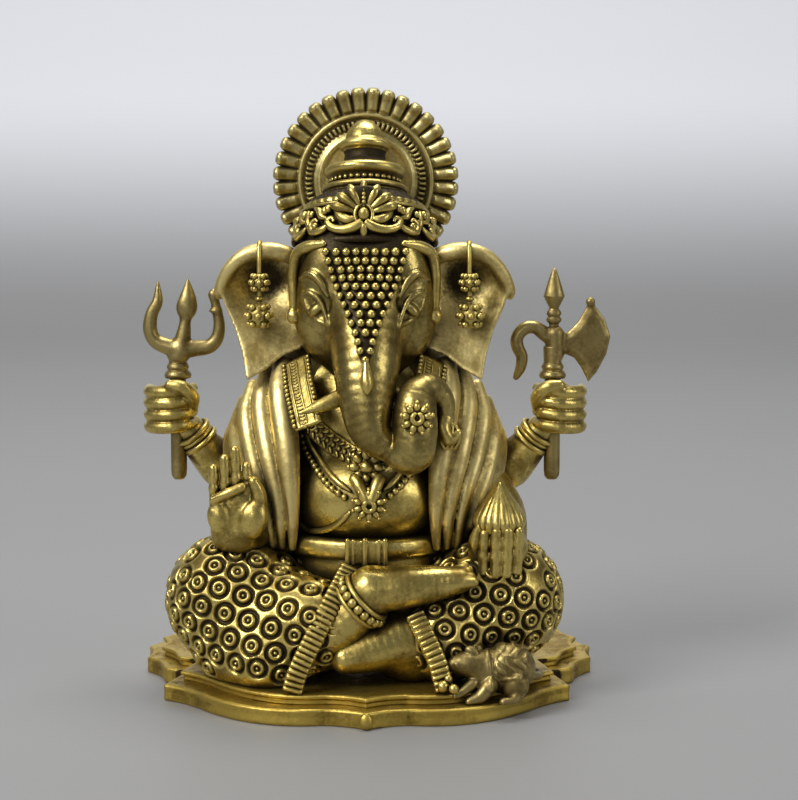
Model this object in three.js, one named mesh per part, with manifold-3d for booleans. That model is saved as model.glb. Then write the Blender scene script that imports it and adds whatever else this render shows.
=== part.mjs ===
// A seated elephant-headed deity, cast in brass as separate pieces and brazed on a two-tier plinth.
// The trident and the axe are loose: each hangs by its collar in the bore of a fist, and lifts out of it.
// Millimetres, +Z up, the figure faces -Y. The origin is on the underside of the plinth, on its middle line.
import * as THREE from 'three';
import { mergeVertices } from 'three/addons/utils/BufferGeometryUtils.js';
import Module from 'manifold-3d';

const wasm = await Module();
wasm.setup();

// ---------------------------------------------------------------- driving dimensions

const GAP = 0.3; // braze gap between neighbouring castings
const BORE_CLEARANCE = 0.3; // between a weapon's shaft and the bore of its fist, on the radius

// Plinth. Seen from above the front is an ogee with a point, and the sides and back are an arc of scallops.
const plate = { halfWidth: 40.8, tip: 35.6, corner: 13.4, dip: 3.2, thickness: 3.3 };
const backArc = { halfWidth: 47.4, reach: 34, middle: 16, from: -36, scallops: 15, scallop: 1.3 };
const step = { inset: 3, height: 2 };

// The figure stands on the plinth. From here on heights are from the step, and x is from its own middle.
const figureAt = { x: -0.6, z: plate.thickness + step.height };

// Seated body: a turned trunk, flattened front to back, with the pot belly on its front.
const body = {
  profile: [[0, GAP], [20, GAP], [23, 11], [18, 23], [16.6, 31], [17.4, 41], [18.6, 49], [16.4, 55],
    [11, 59.6], [8.4, 63], [8.4, 69], [0, 69]],
  middle: 4,
  squash: 0.8,
};
const belly = { at: [0.8, 0, 35], radii: [17, 17, 12.6] };
const belt = { width: 1.6, height: 4.4, rim: 1.2, up: 25.2, squash: 0.9 };
const buckle = { width: 8.4, height: 5.4, depth: 2.4 };

// Folded legs under the draped skirt, and the shawl over the upper arms.
const knee = { at: [26, -7, 14.2], radii: [13.7, 13.5, 13.2] };
const skirtFall = { radius: 9.4 };
const hem = { radius: 2.1, flat: 0.45 };
const foot = { heel: 4.3, ball: 3.9, toe: 2.1 };
const anklet = { radius: 4.6, wire: 0.9 };
const shawl = { top: 5.8, arm: 8.2, end: 3.2, fold: 1.5 };

// Head.
const skull = { at: [0, 0, 75.6], radii: [13.8, 12.5, 14] };
const cheeks = { at: [0.2, -4.6, 66], radii: [10.3, 8.5, 9.5] };
const trunk = { root: 7.6, middle: 5.2, bend: 4.5, tip: 2 };
const tusk = { root: 2, tip: 0.5 };
const stump = { root: 1.5, tip: 1.1 };
const ear = { root: 12.2, span: 17, top: 81.4, low: 57.6, arch: 3, thickness: 1.6, rim: 1.5, turn: 9 };
const earring = { rosette: 2.2, drop: 3.1, wire: 0.8 };
const browNet = { width: 7.6, end: 1.1, flat: 0.4 };

// Crown and halo. The crown leans back on the head.
const crown = { up: 82.4, back: 0.5, lean: 15 };
const band = { radius: 13.9, height: 7.8, brow: 0.9, taper: 1.2 };
const crest = { radii: [5.2, 1.6, 6], up: 7.6 };
const dome = { radius: 12, top: 8.2, height: 5.6 };
const finial = { ring: 7.6, neck: 4.4, knop: 4.9, point: 0.8, height: 12.6 };
const halo = { radius: 19.1, up: 95.8, back: 17, thickness: 1.4, flutes: 36, scallop: 0.8 };
const haloRings = { plain: 13.8, beaded: 11.4, wire: 0.8 };
const haloStub = { radius: 2.2, drop: 8 };

// Arms, hands and what they hold.
const rearArm = { shoulder: 6, elbow: 4.9, wrist: 3.1 };
const elbow = [29.6, 7, 38.6];
const fist = { out: 39.2, back: 4, up: 50.9, radii: [4.9, 4.8, 5.6], finger: 1.45 };
const bangle = { wire: 0.85, down: 6 };
const palm = { at: [-24.7, -14, 32.6], radii: [5.7, 3, 6.8] };
const finger = { radius: 1.25, length: 9.4 };
const cup = { at: [26.4, -14.2, 26], radii: [6, 4.8, 5] };
const sweetmeat = { at: [26.4, -14.6, 28], radius: 5.5, height: 9.6, point: 0.5 };

// Weapons. The collar rests on the fist.
const grip = { inside: 1.5 }; // how far the bore is inwards of the middle of the fist
const weaponAxis = fist.out - grip.inside;
const shaft = { radius: 1.6, below: 14.8 };
const collar = { radius: 2.8, height: 1.5 };
const trident = { reach: 7.2, prong: 1.5, tip: 0.5, height: 19, lean: 9, bud: 2 };
const axe = { blade: 12, horn: 8, plate: 1.5, hook: 7.4, arm: 1.5, height: 22.6, spear: 2.1 };

// Neck ornaments.
const strap = { radius: 3.3, flat: 0.4 };
const neckBand = { radius: 2, flat: 0.5 };
const chainRadius = 0.9;
const pendant = { radius: 3.4, boss: 1.4, depth: 1.4 };
const rosette = { radius: 3, boss: 1.2, depth: 1.7 };
const threadRadius = 0.6;

// Mouse beside the feet, facing the middle.
const mouse = { at: [27.6, -23.6, 3.6], radii: [6, 4.4, 5], head: 3, nose: 0.8, tail: 0.8 };
const treat = 1.3;

// ---------------------------------------------------------------- materials

const brass = (color, roughness) => new THREE.MeshStandardMaterial({ color, roughness, metalness: 1 });
const materials = {
  skin: brass(0xb08a35, 0.3), // burnished brass of the body
  ornament: brass(0x9c7a2e, 0.35), // relief work with dark recesses
  pale: brass(0xa8935a, 0.5), // duller brass of the halo, weapons and mouse
  plinth: brass(0x94702a, 0.35),
};

// ---------------------------------------------------------------- shapes
// A shape is a function of grow that returns a solid, larger all round by grow. Grown shapes cut neighbours.

function solidOf(geometry) {
  const bare = geometry.index ? geometry.toNonIndexed() : geometry;
  bare.deleteAttribute('normal');
  bare.deleteAttribute('uv');
  const merged = mergeVertices(bare, 1e-4);
  return new wasm.Manifold(new wasm.Mesh({
    numProp: 3,
    vertProperties: merged.attributes.position.array,
    triVerts: new Uint32Array(merged.index.array),
  }));
}

function geometryOf(solid) {
  const mesh = solid.getMesh();
  const geometry = new THREE.BufferGeometry();
  geometry.setAttribute('position', new THREE.BufferAttribute(new Float32Array(mesh.vertProperties), 3));
  geometry.setIndex(new THREE.BufferAttribute(new Uint32Array(mesh.triVerts), 1));
  geometry.computeVertexNormals();
  return geometry;
}

// The mirror image of an indexed geometry in the plane x = 0, with its faces turned back outwards.
function reflected(geometry) {
  const order = geometry.index.array;
  for (let i = 0; i < order.length; i += 3) [order[i + 1], order[i + 2]] = [order[i + 2], order[i + 1]];
  return geometry.scale(-1, 1, 1);
}

const radians = THREE.MathUtils.degToRad;
const join = (...shapes) => (grow) => shapes.map((shape) => shape(grow)).reduce((a, b) => a.add(b));
const bored = (shape, bore) => (grow) => shape(grow).subtract(bore(0));
const mirrored = (side) => (x, y, z) => [side * x, y, z];
const shifted = ([x, y, z], dx, dy, dz) => [x + dx, y + dy, z + dz];

function ellipsoid({ at, radii }, detail = 12) {
  return (grow) => {
    const ball = new THREE.SphereGeometry(1, detail, Math.round(detail * 0.6));
    return solidOf(ball.scale(...radii.map((r) => r + grow)).translate(...at));
  };
}

// A round-ended limb along a smooth path, with radii spread evenly along it. Where flat is under 1 its
// section is an ellipse, thin along facing.
function limb(path, radii, { flat = 1, facing = [0, -1, 0.01], sides = 8, steps = 4, ends = 1 } = {}) {
  const curve = new THREE.CatmullRomCurve3(path.map((p) => new THREE.Vector3(...p)));
  const radiusAt = (t) => {
    const place = t * (radii.length - 1);
    const i = Math.min(Math.floor(place), radii.length - 2);
    return THREE.MathUtils.lerp(radii[i], radii[i + 1], place - i);
  };
  const rings = [];
  for (let i = 0; i < ends; i++) rings.push({ t: 0, turn: (i / ends) * (Math.PI / 2) });
  for (let i = 0; i <= steps; i++) rings.push({ t: i / steps, turn: Math.PI / 2 });
  for (let i = ends - 1; i >= 0; i--) rings.push({ t: 1, turn: Math.PI - (i / ends) * (Math.PI / 2) });
  return (grow) => {
    const tube = new THREE.CylinderGeometry(1, 1, 1, sides, rings.length - 1);
    const position = tube.attributes.position;
    for (let k = 0; k < position.count; k++) {
      const ring = rings[Math.round((position.getY(k) + 0.5) * (rings.length - 1))];
      const wide = radiusAt(ring.t) + grow;
      const thin = radiusAt(ring.t) * flat + grow;
      const along = curve.getTangentAt(ring.t);
      const across = new THREE.Vector3(...facing).cross(along).normalize();
      const out = along.clone().cross(across);
      const spread = Math.max(Math.sin(ring.turn), 0.03);
      const at = curve.getPointAt(ring.t);
      at.addScaledVector(along, -Math.cos(ring.turn) * Math.min(wide, thin));
      at.addScaledVector(across, position.getX(k) * wide * spread);
      at.addScaledVector(out, -position.getZ(k) * thin * spread);
      position.setXYZ(k, at.x, at.y, at.z);
    }
    return solidOf(tube);
  };
}

// A turned piece about the z axis. The profile is [radius, height] pairs, from the axis's foot to its top.
function turned(profile, at, { lean = 0, squash = 1, sides = 16 } = {}) {
  return (grow) => {
    const outer = profile.slice(1, -1).map(([r, h]) => new THREE.Vector2(r + grow, h));
    const foot = profile[0][1] - grow;
    const top = profile.at(-1)[1] + grow;
    const points = [new THREE.Vector2(0, foot), new THREE.Vector2(outer[0].x, foot), ...outer,
      new THREE.Vector2(outer.at(-1).x, top), new THREE.Vector2(0, top)];
    const plain = profile.map(([r, h]) => new THREE.Vector2(r, h));
    const lathe = new THREE.LatheGeometry(grow > 0 ? points : plain, sides);
    return solidOf(lathe.rotateX(Math.PI / 2).scale(1, squash, 1).rotateX(radians(-lean)).translate(...at));
  };
}

// A slab between two heights: outline is a function of grow that returns a THREE.Shape in x and y.
function slab(outline, low, high, curveSegments = 6) {
  return (grow) => {
    const depth = high - low + 2 * grow;
    const block = new THREE.ExtrudeGeometry(outline(grow), { depth, bevelEnabled: false, curveSegments });
    return solidOf(block.translate(0, 0, low - grow));
  };
}

// A plate that stands upright: its outline is in x and z, and y is the middle of its thickness.
function upright(outline, y, thickness, curveSegments = 6) {
  const lying = slab(outline, -thickness / 2, thickness / 2, curveSegments);
  return (grow) => solidOf(geometryOf(lying(grow)).rotateX(Math.PI / 2).translate(0, y, 0));
}

function ring(radius, wire, at, turn, sides = 12) {
  return (grow) => {
    const torus = new THREE.TorusGeometry(radius, wire + grow, 5, sides);
    torus.rotateX(radians(turn[0])).rotateY(radians(turn[1])).rotateZ(radians(turn[2]));
    return solidOf(torus.translate(...at));
  };
}

// A shape without what lies below a height.
function above(shape, height) {
  const reach = 400;
  return (grow) => {
    const below = new THREE.BoxGeometry(reach, reach, reach).translate(0, 0, height - grow - reach / 2);
    return shape(grow).subtract(solidOf(below));
  };
}

const half = (reach, share) => reach * Math.sqrt(Math.max(1 - share ** 2, 0));

// The radius of the body's profile at a height.
function bodyRadius(z) {
  const i = body.profile.findIndex(([, height], k) => k > 1 && height >= z);
  const [[r0, z0], [r1, z1]] = [body.profile[i - 1], body.profile[i]];
  return THREE.MathUtils.mapLinear(z, z0, z1, r0, r1);
}

// The y of the front of the body, or of the belly where that stands further out.
function bodyFront(x, z) {
  const r = bodyRadius(z);
  const chestFace = body.middle - half(r, x / r) * body.squash;
  const share = Math.hypot((x - belly.at[0]) / belly.radii[0], (z - belly.at[2]) / belly.radii[2]);
  return Math.min(chestFace, belly.at[1] - half(belly.radii[1], share));
}
// Puts [x, z] pairs on the front of the body, standing out by a height.
const onBody = (pairs, out) => pairs.map(([x, z]) => [x, bodyFront(x, z) - out, z]);

// ---------------------------------------------------------------- plinth

function plinthOutline(inset) {
  return (grow) => {
    const out = grow - inset;
    const corner = plate.halfWidth + out;
    const front = -plate.corner - out;
    const tip = -plate.tip - out;
    const outline = new THREE.Shape();
    const notch = tip + plate.dip;
    const bend = (tip + front) / 2 + 3.6;
    outline.moveTo(0, tip);
    outline.quadraticCurveTo(corner * 0.09, notch - 0.3, corner * 0.21, notch);
    outline.bezierCurveTo(corner * 0.42, tip + 1.6, corner * 0.62, tip + 5, corner * 0.8, bend);
    outline.quadraticCurveTo(corner * 0.9, front - 2, corner, front);
    const span = 180 - 2 * backArc.from;
    const steps = backArc.scallops * 3;
    for (let i = 0; i <= steps; i++) {
      const a = radians(backArc.from + (i / steps) * span);
      const dip = backArc.scallop * Math.abs(Math.cos((i / steps) * backArc.scallops * Math.PI));
      outline.lineTo(
        Math.cos(a) * (backArc.halfWidth + out - dip),
        backArc.middle + Math.sin(a) * (backArc.reach + out - dip),
      );
    }
    outline.lineTo(-corner, front);
    outline.quadraticCurveTo(-corner * 0.9, front - 2, -corner * 0.8, bend);
    outline.bezierCurveTo(-corner * 0.62, tip + 5, -corner * 0.42, tip + 1.6, -corner * 0.21, notch);
    outline.quadraticCurveTo(-corner * 0.09, notch - 0.3, 0, tip);
    return outline;
  };
}

const plinthPieces = [
  ['plinth_plate', 'plinth', slab(plinthOutline(0), 0, plate.thickness)],
  ['plinth_step', 'plinth', slab(plinthOutline(step.inset), plate.thickness + GAP, figureAt.z)],
];

// ---------------------------------------------------------------- body and legs

const right = -1; // the figure's right is at -x
const left = 1;

const torso = join(
  turned(body.profile, [0, body.middle, 0], { squash: body.squash, sides: 18 }),
  ellipsoid(belly, 16),
);

const beltRadius = bodyRadius(belt.up) + belt.width;
const beltMiddle = 2;
const waistBelt = turned(
  [[0, 0], [beltRadius, 0], [beltRadius + belt.rim, belt.height / 2], [beltRadius, belt.height],
    [0, belt.height]],
  [0, beltMiddle, belt.up - belt.height / 2],
  { squash: belt.squash, sides: 18 },
);

const beltBuckle = (grow) => {
  const block = new THREE.BoxGeometry(
    buckle.width + 2 * grow,
    buckle.depth + 2 * grow,
    buckle.height + 2 * grow,
  );
  const front = beltMiddle - (beltRadius + belt.rim) * belt.squash;
  return solidOf(block.translate(belly.at[0] - 0.4, front - buckle.depth / 2 + belt.rim, belt.up));
};

function skirt(side) {
  const at = mirrored(side);
  const [out, front, up] = knee.at;
  const fall = side === right ? at(10, -18.4, 12) : at(15.4, -17, 9);
  return above(join(
    ellipsoid({ at: at(...knee.at), radii: knee.radii }, 14),
    limb([at(9, 7, 13), at(out - 5, front + 3, up)], [knee.radii[2] - 1, knee.radii[2] - 0.8], { steps: 2 }),
    limb([at(out - 4, front - 3, up - 2), fall], [knee.radii[2] - 2.6, skirtFall.radius], { steps: 2 }),
  ), GAP);
}

const hemBand = (path) => above(
  limb(path, [hem.radius, hem.radius], { flat: hem.flat, facing: [0, -1, 0.5] }),
  GAP,
);
const rightHem = hemBand([[-2.4, -18, 21.6], [-8, -26.4, 12], [-12.4, -27.6, 1]]);
const leftHem = hemBand([[10, -23.4, 15.4], [13.2, -26, 9], [16.2, -27, 1]]);

const rightLeg = above(join(
  limb([[-13, -17, 9], [-5, -20, 12], [0.6, -21.6, 16]], [6.4, 5.6, foot.heel]),
  limb(
    [[0.6, -21.6, 18], [9.4, -21.8, 19.2], [21, -20, 20.8]],
    [foot.heel, foot.ball, foot.toe],
    { steps: 5 },
  ),
), GAP);
const leftLeg = above(
  limb([[15, -18, 9], [5, -22, 7.2], [-7.2, -24, 3.4]], [7, 5.8, foot.toe + 0.6], { steps: 5 }),
  GAP,
);
const ankletRing = ring(anklet.radius, anklet.wire, [-0.8, -21.4, 15.6], [15, 50, 0]);

// ---------------------------------------------------------------- head

const head = join(ellipsoid(skull, 16), ellipsoid(cheeks));

const trunkTube = limb(
  [[0.4, -9, 72], [0.5, -15.4, 61], [0.6, -19.4, 51], [3.4, -21, 44.4], [8.2, -20.8, 43.2], [10.2, -20, 48],
    [10, -19, 54], [11.6, -16.6, 57.6], [14.8, -14.4, 56.4], [16.2, -14, 52]],
  [trunk.root, 6.5, trunk.middle, trunk.bend, trunk.bend, trunk.bend, trunk.bend, 3.6, 2.8, trunk.tip],
  { steps: 14 },
);
const trunkRosette = turned(
  [[0, 0], [rosette.radius, 0], [rosette.radius, rosette.depth / 2], [rosette.boss, rosette.depth],
    [0, rosette.depth]],
  [9.8, -19 - trunk.bend, 52.4],
  { lean: 90 },
);
const trunkSweet = ellipsoid({ at: [16.5, -14, 47], radii: [2.2, 2, 2.4] }, 10);
const rightTusk = limb(
  [[-5, -13.6, 57.2], [-8.4, -16, 54.6], [-11.7, -18, 53.2]],
  [tusk.root, tusk.root * 0.75, tusk.tip],
);
const leftTuskStump = limb([[5, -14.4, 57], [6.8, -17, 56]], [stump.root, stump.tip], { steps: 1 });

function earShell(side) {
  const height = ear.top - ear.low;
  const outline = (grow) => {
    const inner = -grow;
    const outer = ear.span + grow;
    const shape = new THREE.Shape();
    const crownOfFan = ear.top + ear.arch + grow;
    const widest = ear.top - height * 0.32;
    const corner = outer * 0.68;
    shape.moveTo(inner, ear.top + grow);
    shape.bezierCurveTo(outer * 0.3, crownOfFan, outer * 0.9, crownOfFan, outer, widest);
    shape.bezierCurveTo(
      outer * 0.86, ear.low + height * 0.45,
      outer * 0.72, ear.low + height * 0.3,
      corner, ear.low - grow,
    );
    shape.lineTo(inner, ear.low + height * 0.26 - grow);
    shape.closePath();
    return shape;
  };
  const rim = limb(
    [[0.6, -0.6, ear.top], [ear.span * 0.4, -1.2, ear.top + 1.4], [ear.span * 0.8, -1.2, ear.top - 1.4],
      [ear.span, -0.8, ear.top - height * 0.3]],
    [ear.rim, ear.rim, ear.rim, ear.rim * 0.8],
    { sides: 6, steps: 5 },
  );
  const shell = join(upright(outline, 0, ear.thickness, 4), rim);
  return (grow) => {
    const fan = geometryOf(shell(grow)).rotateZ(radians(-ear.turn)).translate(ear.root, 0, 0);
    return solidOf(side === left ? fan : reflected(fan));
  };
}

function earDrop(side) {
  const at = mirrored(side);
  const x = 20.7;
  const y = -5.6;
  return join(
    ellipsoid({ at: at(x, y, 76.6), radii: [earring.rosette, 1.8, earring.rosette] }, 8),
    ellipsoid({ at: at(x, y - 0.4, 70.2), radii: [earring.drop, 2.4, earring.drop] }, 8),
    limb(
      [at(x, y + 2.2, 83.8), at(x, y, 82), at(x, y, 70)],
      [earring.wire, earring.wire],
      { sides: 5, steps: 2 },
    ),
  );
}

const foreheadNet = limb(
  [[0.4, -9.4, 83.6], [0.4, -13.6, 76], [0.5, -17.4, 68], [0.5, -22, 60.4]],
  [browNet.width, browNet.width * 0.74, browNet.width * 0.42, browNet.end],
  { flat: browNet.flat, facing: [0, -1, 0.5], steps: 6 },
);
const foreheadDrop = limb([[0.5, -23.6, 58.8], [0.4, -25, 54.4]], [0.7, 1.3], { steps: 2, sides: 6 });

// ---------------------------------------------------------------- crown and halo

// A point on the crown's leaning axis, up along it and forward of it.
function onCrown(up, forward = 0) {
  const a = radians(crown.lean);
  const y = crown.back + up * Math.sin(a) - forward * Math.cos(a);
  return [0, y, crown.up + up * Math.cos(a) + forward * Math.sin(a)];
}

const crownBand = turned(
  [[0, 0], [band.radius + band.brow, 0], [band.radius + band.brow, 2], [band.radius, 2.4],
    [band.radius - band.taper, band.height], [0, band.height]],
  onCrown(0),
  { lean: crown.lean, sides: 18 },
);
const crownCrest = ellipsoid({ at: onCrown(crest.up, band.radius), radii: crest.radii }, 12);
const crownDome = turned(
  [[0, 0], [dome.radius, 0], [dome.radius - 1, 2], [dome.top, dome.height - 0.8], [dome.top, dome.height],
    [0, dome.height]],
  onCrown(band.height + GAP),
  { lean: crown.lean, sides: 16 },
);
const crownFinial = turned(
  [[0, 0], [finial.ring - 0.8, 0], [finial.ring, 0.9], [finial.ring - 0.4, 2], [finial.neck, 3],
    [finial.neck, 5], [finial.knop, 6.2], [finial.knop, 7], [2.6, 9.4], [finial.point, finial.height],
    [0, finial.height]],
  onCrown(band.height + dome.height + 2 * GAP),
  { lean: crown.lean, sides: 12 },
);

function haloOutline(grow) {
  const points = [];
  const steps = halo.flutes * 2;
  for (let i = 0; i < steps; i++) {
    const a = (i / steps) * 2 * Math.PI;
    const r = halo.radius + grow - halo.scallop * Math.abs(Math.cos((halo.flutes * a) / 2));
    points.push(new THREE.Vector2(r * Math.cos(a), halo.up + r * Math.sin(a)));
  }
  return new THREE.Shape(points);
}
const haloDisc = upright(haloOutline, halo.back, halo.thickness);
const haloFace = halo.back - halo.thickness / 2 - GAP;
const haloRing = (radius) => ring(
  radius, haloRings.wire, [0, haloFace - haloRings.wire, halo.up], [90, 0, 0], 24,
);
const stubUp = halo.up - haloStub.drop;
const haloPost = limb(
  [[0, haloFace - haloStub.radius, stubUp], [0, 8, stubUp]],
  [haloStub.radius, haloStub.radius],
  { facing: [0, 0, 1], steps: 1 },
);

// ---------------------------------------------------------------- arms and hands

function armToWeapon(side) {
  const at = mirrored(side);
  return limb(
    [at(15, 6, 48), at(23, 8.4, 41), at(...elbow), at(fist.out - 4, fist.back + 1, fist.up - 5.4)],
    [rearArm.shoulder, rearArm.shoulder - 0.6, rearArm.elbow, rearArm.wrist],
    { steps: 6 },
  );
}

function grippingHand(side) {
  const at = mirrored(side);
  const rows = [-3.4, -1.15, 1.1, 3.3];
  const fingers = rows.map((up) => limb(
    [at(fist.out + 3.8, fist.back - 1.6, fist.up + up), at(fist.out + 1.4, fist.back - 4.4, fist.up + up),
      at(fist.out - 3, fist.back - 3.4, fist.up + up * 0.9)],
    [fist.finger, fist.finger, fist.finger * 0.8],
    { facing: [0, 0, 1], steps: 2, sides: 5 },
  ));
  const bore = shaft.radius + BORE_CLEARANCE;
  const flesh = ellipsoid({ at: at(fist.out, fist.back, fist.up), radii: fist.radii }, 10);
  return bored(
    join(flesh, ...fingers),
    turned([[0, -20], [bore, -20], [bore, 20], [0, 20]], at(weaponAxis, fist.back, fist.up), { sides: 8 }),
  );
}

const wristRing = (side) => ring(
  rearArm.wrist + 0.4 + bangle.wire, bangle.wire,
  mirrored(side)(fist.out - 4.8, fist.back + 1.3, fist.up - bangle.down), [13, 38 * side, 0],
);

const raisedHand = join(
  ellipsoid(palm, 10),
  limb(
    [shifted(palm.at, 0.6, 1.4, -3), shifted(palm.at, 3.6, 7, -2), [-18, 0, 40]],
    [3.6, 4.2, 4.6],
    { steps: 3 },
  ),
  ...[-3.9, -1.5, 0.9, 3.3].map((x) => limb(
    [shifted(palm.at, x, 0, 4), shifted(palm.at, x * 1.1, 0, 4.4 + finger.length - Math.abs(x) * 0.3)],
    [finger.radius, finger.radius],
    { steps: 1, sides: 5 },
  )),
  limb([shifted(palm.at, 4.6, -0.6, 0), shifted(palm.at, 6, -1, 6)], [1.9, 1.4], { steps: 1, sides: 5 }),
);

const sweetCone = turned(
  [[0, 0], [sweetmeat.radius * 0.8, 0.4], [sweetmeat.radius, 2.8], [sweetmeat.radius * 0.8, 5],
    [sweetmeat.point * 2, sweetmeat.height - 0.8], [sweetmeat.point, sweetmeat.height],
    [0, sweetmeat.height]],
  sweetmeat.at,
);
const cuppedHand = join(
  ellipsoid(cup, 10),
  limb([shifted(cup.at, 2, 2, 0), [27, -4, 32], [21, 1, 40]], [4, 4.4, 5], { steps: 3 }),
  ...[-4.4, -1.5, 1.4, 4.3].map((x) => limb(
    [shifted(cup.at, x, -3.6, -2.4), shifted(cup.at, x, -4.8, 4.6)],
    [1.5, 1.3],
    { steps: 1, sides: 5 },
  )),
);

// ---------------------------------------------------------------- weapons

const collarSeat = fist.up + fist.radii[2] + GAP;

// The shaft through the fist and the collar that rests on it, up to where the head of the weapon begins.
function weaponStem(side, rise) {
  const end = fist.up - shaft.below;
  const top = collarSeat + collar.height;
  return turned(
    [[0, end], [shaft.radius * 0.7, end + 0.4], [shaft.radius, end + 1.4], [shaft.radius, collarSeat],
      [collar.radius, collarSeat], [collar.radius, top], [shaft.radius + 0.5, top + 0.4],
      [shaft.radius + 0.2, collarSeat + rise], [0, collarSeat + rise]],
    [side * weaponAxis, fist.back, 0],
    { sides: 8 },
  );
}

function tridentHead() {
  const root = collarSeat + 6.4;
  const slope = Math.tan(radians(trident.lean));
  const at = (across, up) => [-weaponAxis + across + up * slope, fist.back, root + up];
  const prong = (s) => limb(
    [at(0, 0.2), at(s * trident.reach * 0.62, 0.8), at(s * trident.reach, 5),
      at(s * trident.reach * 0.86, 9.4), at(s * trident.reach * 0.84, trident.height * 0.72)],
    [trident.prong, trident.prong, trident.prong, trident.prong * 0.8, trident.tip],
    { steps: 6, sides: 6 },
  );
  const middle = limb([at(0, 0), at(0, 8.6)], [trident.prong * 1.2, trident.prong * 0.9], { steps: 1 });
  const bud = limb(
    [at(0, 8), at(0, 11), at(0, trident.height - 4)],
    [trident.prong * 0.8, trident.bud, trident.tip],
    { steps: 4 },
  );
  return join(middle, bud, prong(-1), prong(1));
}

function axeHead() {
  const at = (across, up) => [weaponAxis + across, fist.back, collarSeat + up];
  const blade = (grow) => {
    const x = weaponAxis;
    const low = collarSeat + 4 - grow;
    const high = collarSeat + 8.6 + grow;
    const edge = x + axe.blade + grow;
    const hornX = x + axe.horn;
    const shape = new THREE.Shape();
    shape.moveTo(x, low);
    shape.lineTo(x + 3, low);
    shape.quadraticCurveTo(hornX - 1, low - 1, hornX - 0.4, low - 5.4);
    shape.quadraticCurveTo(edge + 3.4, collarSeat + 6.4, hornX, high + 6.4);
    shape.quadraticCurveTo(hornX - 2, high + 1.4, x + 3, high);
    shape.lineTo(x, high);
    shape.closePath();
    return shape;
  };
  const hook = limb(
    [at(0, 7), at(-4, 8.6), at(-axe.hook, 6.6), at(-axe.hook + 1, 2.6), at(-axe.hook, -2)],
    [axe.arm * 1.2, axe.arm, axe.arm, axe.arm * 0.9, axe.arm * 0.6],
    { steps: 6, sides: 6 },
  );
  const spear = turned(
    [[0, 0], [1.3, 0], [1.3, 4], [1.7, 4.8], [1.2, 6], [axe.spear, 9], [0.4, axe.height - 7.4],
      [0, axe.height - 7]],
    at(0, 7),
    { sides: 8 },
  );
  return join(upright(blade, fist.back, axe.plate, 5), hook, spear);
}

const tridentPiece = join(weaponStem(right, 7), tridentHead());
const axePiece = join(weaponStem(left, 8), axeHead());

// ---------------------------------------------------------------- dress and ornaments

function shoulderShawl(side) {
  const at = mirrored(side);
  const drape = limb(
    [at(13.4, 1, 56), at(19.6, 0, 48), at(20.2, -3, 39), at(16.4, -8.6, 30), at(14, -12, 27)],
    [shawl.top, shawl.arm - 0.4, shawl.arm, shawl.end + 2, shawl.end],
    { steps: 5 },
  );
  const folds = [0, 1].map((i) => limb(
    [at(12 + 5 * i, -7.4 + 2.6 * i, 54 - i), at(14.4 + 5.6 * i, -11.4 + 4 * i, 43),
      at(13.8 + 2 * i, -13.8 + i, 30)],
    [shawl.fold, shawl.fold * 1.3, shawl.fold * 0.7],
    { steps: 2, sides: 5 },
  ));
  return join(drape, ...folds);
}

function collarStrap(side) {
  const at = mirrored(side);
  return limb([at(12.6, -5.6, 60), at(11, -10.6, 53.4), at(8.6, -13.8, 48)], [strap.radius, strap.radius],
    { flat: strap.flat, facing: [side * 0.4, -1, 0.4], steps: 3 });
}

const necklace = limb(
  onBody([[-10.6, 45.4], [-6, 42.8], [-0.4, 41.2], [5.4, 42.4], [10.8, 45.2]], 1.2),
  [neckBand.radius, neckBand.radius],
  { flat: neckBand.flat, steps: 6 },
);
const beadChain = limb(
  onBody([[-12, 46], [-9.4, 40], [-4.4, 36.2], [0.6, 35], [5.4, 36.8], [9.8, 41]], 0.8),
  [chainRadius, chainRadius],
  { steps: 8, sides: 4 },
);
const pendantAt = (x, z, out) => turned(
  [[0, 0], [pendant.radius, 0], [pendant.radius, pendant.depth / 2], [pendant.boss, pendant.depth],
    [0, pendant.depth]],
  [x, bodyFront(x, z) - out, z],
  { lean: 90 },
);
const upperPendant = pendantAt(0.2, 42, 2.7);
const lowerPendant = pendantAt(0.8, 34.4, 2.1);
const sacredThread = limb(
  onBody([[-2.6, 32.6], [-7, 29.6], [-11.8, 28.4]], 0.5),
  [threadRadius, threadRadius],
  { steps: 5, sides: 5 },
);

// ---------------------------------------------------------------- mouse

// It stands on the plate's ledge, leaning on the step, and its tail and its sweet lie on the step.
const ledge = GAP - step.height;
const mouseLeg = (shoulder, foot, radii) => limb([shoulder, foot], radii, { steps: 1, sides: 5 });
const mouseBody = above(join(
  ellipsoid(mouse, 10),
  limb(
    [shifted(mouse.at, -3.6, -1, 1), shifted(mouse.at, -8, -1.2, 1.6), shifted(mouse.at, -11.8, -1.4, 1)],
    [mouse.head + 0.4, mouse.head, mouse.nose],
    { steps: 3 },
  ),
  mouseLeg(shifted(mouse.at, -3, -3, -1), [mouse.at[0] - 8.4, mouse.at[1] - 6.4, ledge], [1.7, 1]),
  mouseLeg(shifted(mouse.at, 3, -3, -2), [mouse.at[0], mouse.at[1] - 3.2, ledge], [2, 1.1]),
), ledge);
const onStep = mouse.tail + GAP;
const mouseTail = limb(
  [[mouse.at[0] + 5.6, mouse.at[1] + 4.2, onStep], [mouse.at[0] + 7, mouse.at[1] + 8, onStep],
    [mouse.at[0] + 5, mouse.at[1] + 12, onStep]],
  [mouse.tail, mouse.tail * 0.6],
  { steps: 3, sides: 6 },
);
const mouseSweet = ellipsoid(
  { at: [mouse.at[0] - 12.4, mouse.at[1] - 5.4, treat + GAP], radii: [treat, treat, treat] },
  8,
);

// ---------------------------------------------------------------- assembly
// Pieces are listed in the order they are fitted: each is cut clear of every earlier one that it meets.

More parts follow.
